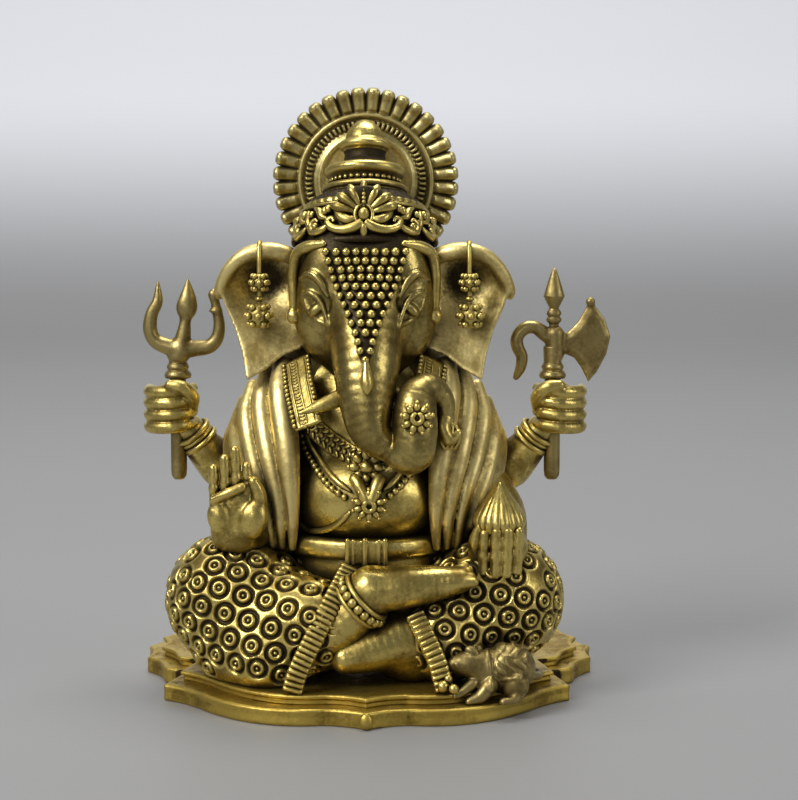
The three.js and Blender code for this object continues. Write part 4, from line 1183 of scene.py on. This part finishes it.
# ---------------------------------------------------------------- arms, fists and weapons
trident_low, trident_high = around("trident", margin=0)
axe_low, axe_high = around("axe", margin=0)
AXIS = {RIGHT: -37.7, LEFT: 37.7}
FIST_Y = 4.0
for side, word in ((RIGHT, "right"), (LEFT, "left")):
    at = at_side(side)
    bend = [at(14, 6, 49), at(22, 8.2, 42), at(28.4, 7.4, 38.8), at(32.4, 6.0, 42), at(35.6, 4.8, 46.4)]
    arm = fuse(1.2, tube(bend, [6.0, 5.4, 4.8, 3.9, 3.0]), egg(at(28.8, 7.6, 38.2), (4.6, 4.8, 4.6)))
    piece(word + "_arm", sculpt(arm, around(word + "_rear_arm", margin=1.5), 0.33), "skin",
          word + "_rear_arm")
    wrist, way = np.array(at(34.3, 5.3, 44.6)), unit(np.array(at(3.2, -1.2, 4.4)))
    hoops = [hoop_mesh(wrist + way * shift, way, wide, thick, 33, 10)
             for shift, wide, thick in ((-1.0, 3.7, 0.62), (0.2, 3.5, 0.5), (1.2, 3.6, 0.62))]
    piece(word + "_wrist_bangle", merge(*hoops), "ornament", word + "_bangle")
    rolls = []
    for up in (-3.7, -1.3, 1.1, 3.4):
        finger = [at(43.6, 5.6, 50.9 + up), at(42.9, 1.6, 50.9 + up), at(39.6, -0.9, 51.1 + up),
                  at(36.2, -0.2, 51.4 + up), at(34.6, 2.6, 51.6 + up)]
        rolls.append(tube(finger, [1.15, 1.32, 1.32, 1.25, 1.05], per=4))
    heel = fuse(1.0, egg(at(39.2, 4.6, 50.9), (4.3, 4.2, 5.0)), egg(at(37.0, 4.8, 47.6), (3.2, 3.4, 3.0)))
    fist = fuse(0.2, heel, *rolls)
    thumb = tube([at(35.0, 2.0, 51.0), at(34.6, -0.2, 53.6), at(36.4, -1.5, 55.6), at(38.8, -1.4, 56.0)],
                 [1.5, 1.5, 1.35, 1.1])
    fist = fuse(0.3, fist, thumb)
    bore = tube([(AXIS[side], FIST_Y, 40), (AXIS[side], FIST_Y, 64)], 1.95, per=1)
    field = carve(0.15, fist, bore)
    piece(word + "_fist", sculpt(field, around(word + "_grip_hand", margin=2), 0.23), "skin",
          word + "_grip_hand")

seat = 56.8  # height of the underside of the weapons' collars, on top of the fists
stem_profile = rounded([
    (0.2, 36.1), (1.0, 36.2), (1.5, 36.9), (1.62, 38), (1.6, seat), (2.6, seat), (2.75, seat + 0.7),
    (2.4, seat + 1.4), (2.0, seat + 1.6), (2.3, seat + 2.2), (2.1, seat + 2.8), (1.8, seat + 3.1),
    (1.9, seat + 6.4), (1.0, seat + 6.8),
], 0.2)
trident_stem = lathe(stem_profile, 28, (AXIS[RIGHT], FIST_Y, 0))


def in_plane(pairs):
    """Points in the plane of the weapons' shafts."""
    return [(x, FIST_Y, z) for x, z in pairs]


trident_field = fuse(
    0.5,
    tube(in_plane([(-37.0, 62.6), (-39.8, 63.2), (-42.2, 64.4), (-43.2, 66.8), (-42.8, 69.8),
                   (-41.6, 72.4), (-41.5, 76.2)]), [2.0, 1.7, 1.5, 1.45, 1.3, 1.1, 0.3]),
    tube(in_plane([(-37.0, 62.6), (-34.2, 62.8), (-31.4, 63.2), (-29.8, 64.8), (-29.3, 67.2),
                   (-29.6, 70.0), (-30.2, 72.6)]), [2.0, 1.7, 1.5, 1.35, 1.2, 1.05, 0.9]),
    tube(in_plane([(-37.6, 61.4), (-36.6, 65), (-36.0, 69.2)]), [2.2, 1.6, 1.0]),
    tube(in_plane([(-36.0, 69.2), (-35.8, 70.8), (-35.6, 72.4), (-35.5, 74.2), (-35.5, 76.6)]),
         [1.0, 2.1, 1.85, 1.2, 0.3], 0.75),
    egg((-30.1, FIST_Y, 70.4), (1.3, 1.3, 0.5)),
    egg((-30.3, FIST_Y, 73.6), (1.2, 1.2, 1.3)),
)
trident_head = sculpt(trident_field, (np.array([-46, 0, 59.]), np.array([-27, 8, 78.])), 0.24)
piece("trident_whole", merge(trident_stem, trident_head), "matt_painted_shade", "trident", body="trident")

axe_stem = lathe(stem_profile, 28, (AXIS[LEFT], FIST_Y, 0))
blade_edge = np.array([
    (38.4, 65.6), (40.6, 66.0), (42.6, 68.0), (44.9, 72.0), (46.0, 71.6), (48.2, 68.6), (49.3, 65.2),
    (48.5, 61.6), (46.6, 58.0), (44.9, 56.0), (43.4, 59.0), (42.0, 60.9), (40.4, 61.6), (38.4, 61.8),
], float)


def blade_field(p):
    """The axe's blade, thinner towards its outline."""
    outside = outline_distance(p, blade_edge)
    flat = np.abs(p[:, 1] - FIST_Y) - 0.85 * np.clip(0.35 + np.abs(outside) * 0.5, 0, 1)
    return np.maximum(outside, flat * 0.9)


axe_field = fuse(
    0.4,
    blade_field,
    egg((45.2, FIST_Y, 72.2), (0.95, 0.9, 0.95)),
    tube(in_plane([(38.2, 64.4), (36.2, 65.6), (34.2, 67.0), (32.2, 66.9), (30.6, 65.2), (30.6, 63.2),
                   (31.5, 61.2), (31.3, 59.0), (30.4, 57.0)]),
         [1.5, 1.5, 1.35, 1.35, 1.3, 1.3, 1.2, 1.1, 0.7]),
    tube(in_plane([(38.1, 61.6), (38.1, 65.6)]), 1.9),
)
axe_head = sculpt(axe_field, (np.array([27, 0, 54.]), np.array([51, 8, 76.])), 0.24)
spear_profile = rounded([
    (1.0, 65.0), (1.5, 66.4), (1.0, 66.9), (0.95, 67.8), (1.5, 68.2), (1.5, 68.9), (1.1, 69.2), (1.5, 69.6),
    (1.4, 70.2), (0.9, 70.9), (1.3, 71.6), (2.15, 73.3), (1.6, 75.2), (0.8, 77.6), (0.25, 79.0),
], 0.2)
spear = lathe(spear_profile, 24, (AXIS[LEFT] + 0.2, FIST_Y, 0), squash=0.8)
piece("axe_whole", merge(axe_stem, axe_head, spear), "matt_painted_shade", "axe", body="axe")

# ---------------------------------------------------------------- front hands
palm_at = np.array([-24.8, -14.0, 32.4])


def fingers_up(tips, roots, widths):
    """Straight fingers with a swelling at each joint and a rounded pad at the tip."""
    made = []
    for tip, root, w in zip(tips, roots, widths):
        tip, root = np.array(tip, float), np.array(root, float)
        spine = [root + (tip - root) * t for t in (0, 0.25, 0.42, 0.58, 0.74, 0.88, 1)]
        made.append(tube(spine, [w, w * 0.94, w * 1.1, w * 0.9, w * 1.08, w * 0.95, w * 0.9], per=2))
    return made


palm_tips = [(-29.3, -14.8, 41.4), (-27.1, -15.0, 43.3), (-25.0, -15.0, 45.0), (-22.8, -14.8, 41.8)]
palm_roots = [(-29.2, -14.6, 34.5), (-27.0, -14.8, 35), (-24.8, -14.8, 35.4), (-22.6, -14.6, 35)]
open_palm = fuse(
    0.6,
    fuse(1.5, egg(palm_at, (5.5, 2.4, 6.0)), egg(palm_at + (-0.6, 0.2, -4.4), (4.6, 2.6, 3.6))),
    egg(palm_at + (-3.4, -1.7, -0.6), (2.3, 1.6, 3.4), (0, -10, 0)),
    egg(palm_at + (3.2, -1.8, -1.0), (2.9, 2.0, 3.9), (0, 14, 0)),
    tube([palm_at + (-4.4, -2.2, 3.0), palm_at + (-1.6, -2.9, 4.4), palm_at + (1.2, -2.7, 5.6)],
         [0.9, 1.0, 0.9]),
    tube([palm_at + (4.4, -1.0, 0.4), palm_at + (4.4, -1.6, 4.0), palm_at + (3.4, -2.2, 6.6)],
         [1.7, 1.4, 1.1]),
)
forearm = tube([palm_at + (0.6, 1.4, -4.6), palm_at + (3.6, 6.5, -3.4), (-17.6, 0.5, 39)], [3.6, 4.2, 4.8])
palm_fingers = fingers_up(palm_tips, palm_roots, (1.0, 1.06, 1.08, 1.02))
palm_field = fuse(0.12, fuse(1.2, open_palm, forearm), *palm_fingers)
crease = [tube([palm_at + (0.2, -3.9, 1.0), palm_at + (-0.1, -4.1, -1.6), palm_at + (-0.6, -3.9, -3.6)],
               [0.35, 0.45, 0.25]),
          tube([palm_at + (-5.0, -3.0, 1.4), palm_at + (-1.8, -4.0, 1.9), palm_at + (1.6, -3.9, 3.0)],
               [0.3, 0.4, 0.25])]
piece("open_hand", sculpt(carve(0.25, palm_field, *crease), around("raised_hand", margin=2), 0.23), "skin",
      "raised_hand")

cup_tips = [(23.4, -18.0, 29.0), (25.7, -18.8, 29.6), (27.9, -18.8, 29.7), (30.0, -18.0, 29.5)]
cup_roots = [(23.2, -17.2, 21.5), (25.5, -17.9, 21.2), (27.6, -17.9, 21.2), (29.7, -17.2, 21.6)]
cup_arm = tube([(28.2, -12, 25.6), (27.4, -4, 31.5), (21.5, 1, 39.5)], [3.8, 4.3, 4.8])
cup_field = fuse(
    0.3,
    fuse(1.5, egg((26.4, -13.6, 24.4), (5.3, 4.4, 4.4)), cup_arm),
    tube([(21.8, -14.6, 24.0), (21.6, -16.2, 27.2), (22.6, -16.6, 30.2)], [1.5, 1.3, 1.0]),
    *fingers_up(cup_tips, cup_roots, (1.12, 1.2, 1.2, 1.1)),
)
piece("cupped_palm", sculpt(cup_field, around("cupped_hand", margin=2), 0.24), "skin", "cupped_hand")
sweet_low, sweet_high = around("sweetmeat", margin=0)
sweet_at = (sweet_low + sweet_high) / 2


def pleats(a, r, h):
    """Pleats that run up the sweet and fade out at its tip."""
    share = fade_in(-h, sweet_low[2] - sweet_high[2], 9.0)
    return 0.5 * share * (np.abs(np.cos(a * 9)) ** 0.6 - 0.7)


sweet_profile = rounded([
    (0.3, 0), (4.2, 0.4), (5.2, 2.6), (4.6, 4.4), (3.2, 6.6), (1.4, 8.8), (0.5, 9.9), (0.12, 10.3),
], 0.6)
cone = lathe(sweet_profile, 216, (sweet_at[0], sweet_at[1], sweet_low[2]), wave=pleats)
piece("pleated_sweet", cone, "ornament", "sweetmeat", rounds=8)

# ---------------------------------------------------------------- shawl over the upper arms
for side, word in ((RIGHT, "right"), (LEFT, "left")):
    at = at_side(side)
    base = fuse(
        2.0,
        tube([at(13.4, 1.5, 55.2), at(19.4, 1.2, 48), at(20.2, -1.4, 39), at(17.4, -5.6, 30),
              at(16.0, -7.0, 26)], [5.8, 7.3, 7.4, 5.2, 3.0]),
        tube([at(8, 3.5, 61), at(15.5, 2.6, 57)], [5.6, 6.0]),
    )
    folds = [
        ([at(16.2, -2.6, 60.2), at(16.4, -6.8, 54.6), at(15.2, -11.0, 46), at(14.4, -13.0, 38),
          at(14.0, -12.6, 31), at(14.2, -11, 25)],
         [2.0, 2.6, 2.5, 1.9, 1.3, 0.8]),
        ([at(19.4, -1.4, 58.2), at(20.2, -5.0, 52.4), at(18.9, -9.6, 44.4), at(17.4, -12.0, 37.6),
          at(16.4, -11.8, 30), at(16.2, -10, 25)],
         [1.8, 2.2, 2.1, 1.7, 1.2, 0.8]),
        ([at(22.2, -0.4, 55.6), at(23.2, -3.6, 50.2), at(21.9, -7.6, 43.0), at(20.0, -10.4, 36.4),
          at(18.8, -10.8, 30), at(18.2, -9.4, 25)],
         [1.6, 2.0, 1.9, 1.5, 1.1, 0.8]),
        ([at(24.2, 1.4, 52.4), at(25.4, -1.6, 47.4), at(24.6, -5.0, 41.2), at(22.6, -8.0, 34.8),
          at(21.0, -9.0, 29)],
         [1.4, 1.8, 1.8, 1.4, 1.0]),
        ([at(25.2, 4.0, 49.6), at(26.8, 1.2, 44.8), at(26.4, -1.8, 39.2), at(24.8, -5.2, 33.2)],
         [1.3, 1.7, 1.6, 1.2]),
    ]
    drape = fuse(0.25, base, *[tube(path, size, per=4) for path, size in folds])
    piece(word + "_shawl_folds", sculpt(drape, around(word + "_shawl", margin=2.5), 0.32), "sheet",
          word + "_shawl")

# ---------------------------------------------------------------- straps, necklaces and pendants
def chest_line(pairs, out):
    """Points a little out from the front of the body."""
    return front(body_field, pairs, out=out)


strap_bar = bar(20, 0.3, 0.5)
for side, word in ((RIGHT, "right"), (LEFT, "left")):
    at = at_side(side)
    path = np.array([at(13.3, -5.6, 61.5), at(12.6, -9.6, 57.4), at(11.6, -12.8, 53.4),
                     at(10.6, -14.8, 49.6)])
    facing = unit(np.array([side * 0.45, -1, 0.35]))
    strap_parts = [sweep(path, lambda u: strap_bar * (2.9, 0.5), 10, facing)]
    line, _ = smooth_path(path, 1.0, 40)
    along = unit(np.gradient(line, axis=0))
    across = unit(np.cross(facing, along))

    def beside(step, shift, out):
        i = stations(line, step / 2, step)
        return line[i] + across[i] * shift + facing * out, along[i], across[i]

    for shift in (-2.7, 2.7):
        p, _, _ = beside(1.0, shift, 0.7)
        strap_parts.append(balls(p, 0.5, 8))
    for shift in (-1.6, 0.1, 1.7):
        p, _, _ = beside(0.8, shift, 0.55)
        strap_parts.append(cord_mesh(p, 0.24, 1, 6, facing))
    p, a, c = beside(0.75, -0.75, 0.45)
    strap_parts += [blob(q, [s * 0.75, t * 0.2, facing * 0.35], 6) for q, t, s in zip(p, a, c)]
    piece(word + "_neck_strap", merge(*strap_parts), "ornament", word + "_collar_strap", rounds=4)


def flower(at, facing, petals, reach, turn=0.0, ball=1.0, hole=False):
    """A rosette of petals round a ball or a ring, on a small disc."""
    facing = unit(np.array(facing, float))
    right_way = unit(np.cross(facing, (0, 0, 1)))
    up = np.cross(right_way, facing)
    disc = [right_way * reach * 0.72, up * reach * 0.72, facing * 0.9]
    parts = [blob(np.array(at) - facing * 0.3, disc, 20)]
    for k in range(petals):
        a = 2 * math.pi * k / petals + turn
        out = math.sin(a) * right_way + math.cos(a) * up
        side = math.cos(a) * right_way - math.sin(a) * up
        wide = reach * 2.2 / petals
        parts.append(blob(at + out * reach * 0.66, [side * wide, out * reach * 0.36, facing * 0.85], 12))
        parts.append(blob(at + out * reach * 0.98 + facing * 0.1,
                          [side * wide * 0.75, out * reach * 0.15, facing * 0.7], 8))
    if hole:
        loop = [at + facing * 0.95 + reach * 0.3 * (math.sin(t) * right_way + math.cos(t) * up)
                for t in np.linspace(0, 2 * math.pi, 17)]
        parts.append(cord_mesh(loop, reach * 0.16, 1, 8, facing))
    else:
        parts.append(blob(at + facing * 0.55, [right_way * ball, up * ball, facing * ball * 0.9], 14))
    return parts


pend_up, pend_low = chest_line([(0.5, 40.4)], 2.2)[0], chest_line([(1.0, 34.7)], 1.5)[0]
pend_up[1] = min(pend_up[1], around("upper_pendant", margin=0)[0][1] + 0.6)
piece("upper_rosette", merge(*flower(pend_up, (0, -1, 0.1), 8, 3.5, ball=1.3)), "ornament", "upper_pendant",
      rounds=5)
low_parts = flower(pend_low, (0, -1, -0.1), 10, 3.3, ball=0.5, hole=True)
for s in (1, -1):
    low_parts.append(cord_mesh([pend_low + (0, -0.5, 0), (pend_low + pend_up) / 2 + (s * 1.7, -0.5, 0.2),
                                pend_up + (s * 2.8, 0.2, -1.6)], 1.2, 6))
piece("lower_rosette", merge(*low_parts), "ornament", "lower_pendant", rounds=5)
band_line = chest_line([(-11.4, 50.0), (-8.8, 47.6), (-5.6, 45.0), (-2.4, 43.0), (0.6, 41.8), (3.6, 42.4),
                        (7.0, 43.8), (10.8, 46.8)], 0.7)
leafy = [sweep(band_line, lambda u: strap_bar * (2.0, 0.5), 8)]
line, _ = smooth_path(band_line, 1.0, 40)
along = unit(np.gradient(line, axis=0))
for i in stations(line, 0.9, 1.5):
    up = unit(np.cross(along[i], (0, -1, 0)))
    for w in (1, -1):
        leafy.append(blob(line[i] + up * 1.15 * w + (0, -0.7, 0),
                          [unit(along[i] + up * w * 0.8) * 0.95, unit(up - along[i] * w * 0.8) * 0.45,
                           np.array([0, 0.5, 0])], 8))
    leafy.append(blob(line[i] + (0, -0.85, 0), np.eye(3) * 0.5, 8))
piece("leaf_necklace", merge(*leafy), "ornament", "necklace", rounds=4)
right_half = [(-12.4, 48.6), (-11.6, 44.4), (-9.6, 40.8), (-6.6, 37.8), (-3.2, 35.6)]
left_half = [(4.4, 35.8), (7.0, 37.8), (9.6, 41.0), (11.4, 45.0)]
chain_parts = []
for pairs, inward in ((right_half, 0.9), (left_half, -0.9)):
    outer, inner = chest_line(pairs, 0.45), chest_line([(x + inward, z + 1.3) for x, z in pairs], 0.45)
    chain_parts.append(cord_mesh(inner, 0.62, 6))
    dense, _ = smooth_path(outer, 1.0, 30)
    chain_parts.append(balls(dense[stations(dense, 0.6, 1.5)], 0.74, 10))
    chain_parts.append(cord_mesh(dense[::10], 0.3, 2, 6))
piece("bead_garland", merge(*chain_parts), "ornament", "bead_chain", rounds=4)
thread = chest_line([(-2.4, 33.4), (-5.0, 30.6), (-8.2, 28.9), (-11.0, 28.6), (-13.2, 30.4)], 0.55)
piece("waist_thread", cord_mesh(thread, 0.62, 8, 12), "skin", "sacred_thread")
rose_at = np.array([10.2, -24.7, 52.6])
piece("trunk_flower", merge(*flower(rose_at, (0.05, -1, 0.05), 9, 3.1, hole=True)), "ornament",
      "trunk_rosette", rounds=5)
ankle_mid = np.array([-0.4, -21.8, 16.6])
ankle_way = unit(np.array([0.72, -0.15, 0.68]))
one, two = across_axis(ankle_way)
cuff = [hoop_mesh(ankle_mid + ankle_way * shift, ankle_way, 5.2, thick, 41, 8)
        for shift, thick in ((-1.3, 0.55), (1.3, 0.5))]
beads = [ankle_mid + 5.4 * (x * one + z * two) for x, z in circle(20)]
piece("ankle_beads", merge(*cuff, balls(beads, 0.95, 10)), "ornament", "anklet", rounds=4)

# ---------------------------------------------------------------- mouse
LEDGE = plate_high[2] - ORIGIN[2]
mouse_field = fuse(
    0.9,
    egg((27.6, -23.2, 3.6), (5.6, 4.3, 4.9), (0, -8, 0)),
    egg((23.0, -24.2, 3.2), (3.4, 3.4, 4.0)),
    tube([(22.4, -24.6, 4.4), (19.6, -25.2, 5.0), (17.2, -25.6, 4.9), (15.9, -25.8, 4.6)],
         [3.0, 2.5, 1.5, 0.8]),
)
mouse_field = fuse(
    0.35,
    mouse_field,
    egg((29.2, -26.6, 1.0), (2.5, 1.9, 2.8), (0, 20, 0)),
    tube([(29.6, -27.2, -0.4), (28.6, -28.2, -1.5), (26.8, -28.8, -1.6)], [1.3, 1.0, 0.9]),
    tube([(24.2, -27.0, 1.4), (22.4, -28.2, -0.6), (20.2, -29.0, -1.5)], [1.7, 1.3, 0.9]),
    tube([(21.0, -27.0, 1.6), (18.9, -28.2, 0.2), (17.6, -28.8, -0.4)], [1.1, 0.9, 0.7]),
    egg((20.8, -25.6, 7.6), (1.5, 0.9, 1.0), (0, 30, 0)),
    egg((21.6, -22.6, 7.4), (1.4, 0.9, 1.0)),
    egg((17.8, -27.2, 5.4), (0.45, 0.4, 0.45)),
)


def saddle(p):
    """Low relief on the mouse: a girth, and a curling border on the cloth over its back."""
    girth = np.exp(-((np.abs(p[:, 0] - 24.6 + 0.12 * p[:, 2]) / 0.5) ** 2))
    cloth = fade_in(p[:, 0], 25, 0.5) * fade_in(-p[:, 0], -31.6, 0.5) * fade_in(p[:, 2], 2.0, 0.6)
    curl = np.sin(p[:, 0] * 1.9 + 1.6 * np.sin(p[:, 2] * 1.3)) * np.sin(p[:, 2] * 1.7 + p[:, 0] * 0.6)
    return 0.34 * girth * (p[:, 2] > 0.5) + cloth * (0.18 + 0.2 * np.sign(curl) * np.abs(curl) ** 0.5)


mouse_mesh = relief(sculpt(above(mouse_field, LEDGE + 0.02), around("mouse", margin=2), 0.2), saddle)
piece("mouse_figure", mouse_mesh, "matt_painted_shade", "mouse")
tail = [(32.4, -20.6, 1.6), (34.0, -18.0, 0.9), (34.2, -14.6, 0.8), (32.6, -11.4, 0.7)]
piece("mouse_tail_cord", sculpt(tube(tail, [1.0, 0.8, 0.7, 0.4]), around("mouse_tail", margin=3), 0.2),
      "matt_painted_shade", "mouse_tail")
crumbs_low, crumbs_high = around("mouse_sweet", margin=0)
crumb = (crumbs_low + crumbs_high) / 2
crumbs = [blob(crumb, np.eye(3) * 1.2, 14), blob(crumb + (2.0, -1.2, -0.2), np.eye(3) * 0.95, 12),
          blob(crumb + (1.0, 0.6, 1.3), np.eye(3) * 0.85, 12)]
piece("mouse_sweets", merge(*crumbs), "ornament", "mouse_sweet")

# ---------------------------------------------------------------- the rest of the CAD, and the stage
for name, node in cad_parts.items():
    if "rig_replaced" in node or node.hide_render:
        continue
    node.data.materials.clear()
    node.data.materials.append(FINISHES["skin"][1])


def stage_material(name):
    """A pale matt surface, cooler and paler where the floor rises into the wall."""
    n = Nodes(name)
    n.where = n.add("TexCoord").outputs["Object"]
    height = n.add("SeparateXYZ", {0: n.where}).outputs["Z"]
    cloud = n.ramp(n.noise(6.0, 3.0, 0.5), 0.3, 0.7, 0.0, 0.25)
    level = n.mix(cloud, rgb(0.25, 0.248, 0.243), rgb(0.225, 0.223, 0.218))
    n.put(n.mix(n.ramp(height, 0.0, 0.12), level, rgb(0.86, 0.875, 0.91)), n.shader.inputs["Base Color"])
    n.shader.inputs["Roughness"].default_value = 0.55
    return n.material


def sweep_stage():
    """A pale floor that rises behind into a wall."""
    ys = [-3.0, -0.5, 0.6] + [0.6 + 0.5 * math.sin(a) for a in np.linspace(0.1, math.pi / 2, 12)] + [1.1]
    zs = [0.0, 0.0, 0.0] + [0.5 - 0.5 * math.cos(a) for a in np.linspace(0.1, math.pi / 2, 12)] + [4.0]
    verts = [(x, y, z) for y, z in zip(ys, zs) for x in (-4.0, 4.0)]
    faces = [(2 * i, 2 * i + 1, 2 * i + 3, 2 * i + 2) for i in range(len(ys) - 1)]
    data = bpy.data.meshes.new("floor")
    data.from_pydata(verts, [], faces)
    data.shade_smooth()
    data.materials.append(stage_material("pale_floor"))
    made = bpy.data.objects.new("floor", data)
    bpy.context.scene.collection.objects.link(made)


sweep_stage()


def softbox(name, at, size, power, aim=(0, 0, 0.06)):
    lamp = bpy.data.lights.new(name, "AREA")
    lamp.shape = "RECTANGLE"
    lamp.size, lamp.size_y = size
    lamp.energy = power
    made = bpy.data.objects.new(name, lamp)
    made.location = at
    made.rotation_euler = (Vector(aim) - Vector(at)).to_track_quat("-Z", "Y").to_euler()
    bpy.context.scene.collection.objects.link(made)


softbox("key", (-0.60, -0.50, 0.70), (0.40, 0.40), 7.5)
softbox("fill", (0.80, -0.40, 0.40), (0.30, 0.50), 1.4)
softbox("front", (-0.25, -0.90, 0.30), (0.30, 0.20), 0.6, aim=(0, 0, 0.03))
softbox("top", (0.05, 0.15, 0.80), (0.50, 0.40), 4.0)
softbox("wall_wash", (0.0, 0.30, 1.10), (1.40, 0.30), 4.0, aim=(0.0, 1.10, 0.25))
world = bpy.data.worlds.new("studio")
world.use_nodes = True
world.node_tree.nodes["Background"].inputs["Color"].default_value = (0.78, 0.80, 0.84, 1)
world.node_tree.nodes["Background"].inputs["Strength"].default_value = 0.2
bpy.context.scene.world = world
bpy.context.scene.view_settings.view_transform = "Standard"

CAMERA_HEIGHT, CAMERA_BACK, CAMERA_RIGHT, CAMERA_DOWN = 0.120, 0.470, 0.0062, 7.5
camera = bpy.data.cameras.new("camera")
camera.sensor_width = 36
camera.lens = 106.7
camera.clip_start = 0.01
eye = bpy.data.objects.new("camera", camera)
eye.location = (CAMERA_RIGHT, -CAMERA_BACK, CAMERA_HEIGHT)
eye.rotation_euler = (math.radians(90 - CAMERA_DOWN), 0, 0)
bpy.context.scene.collection.objects.link(eye)
bpy.context.scene.camera = eye
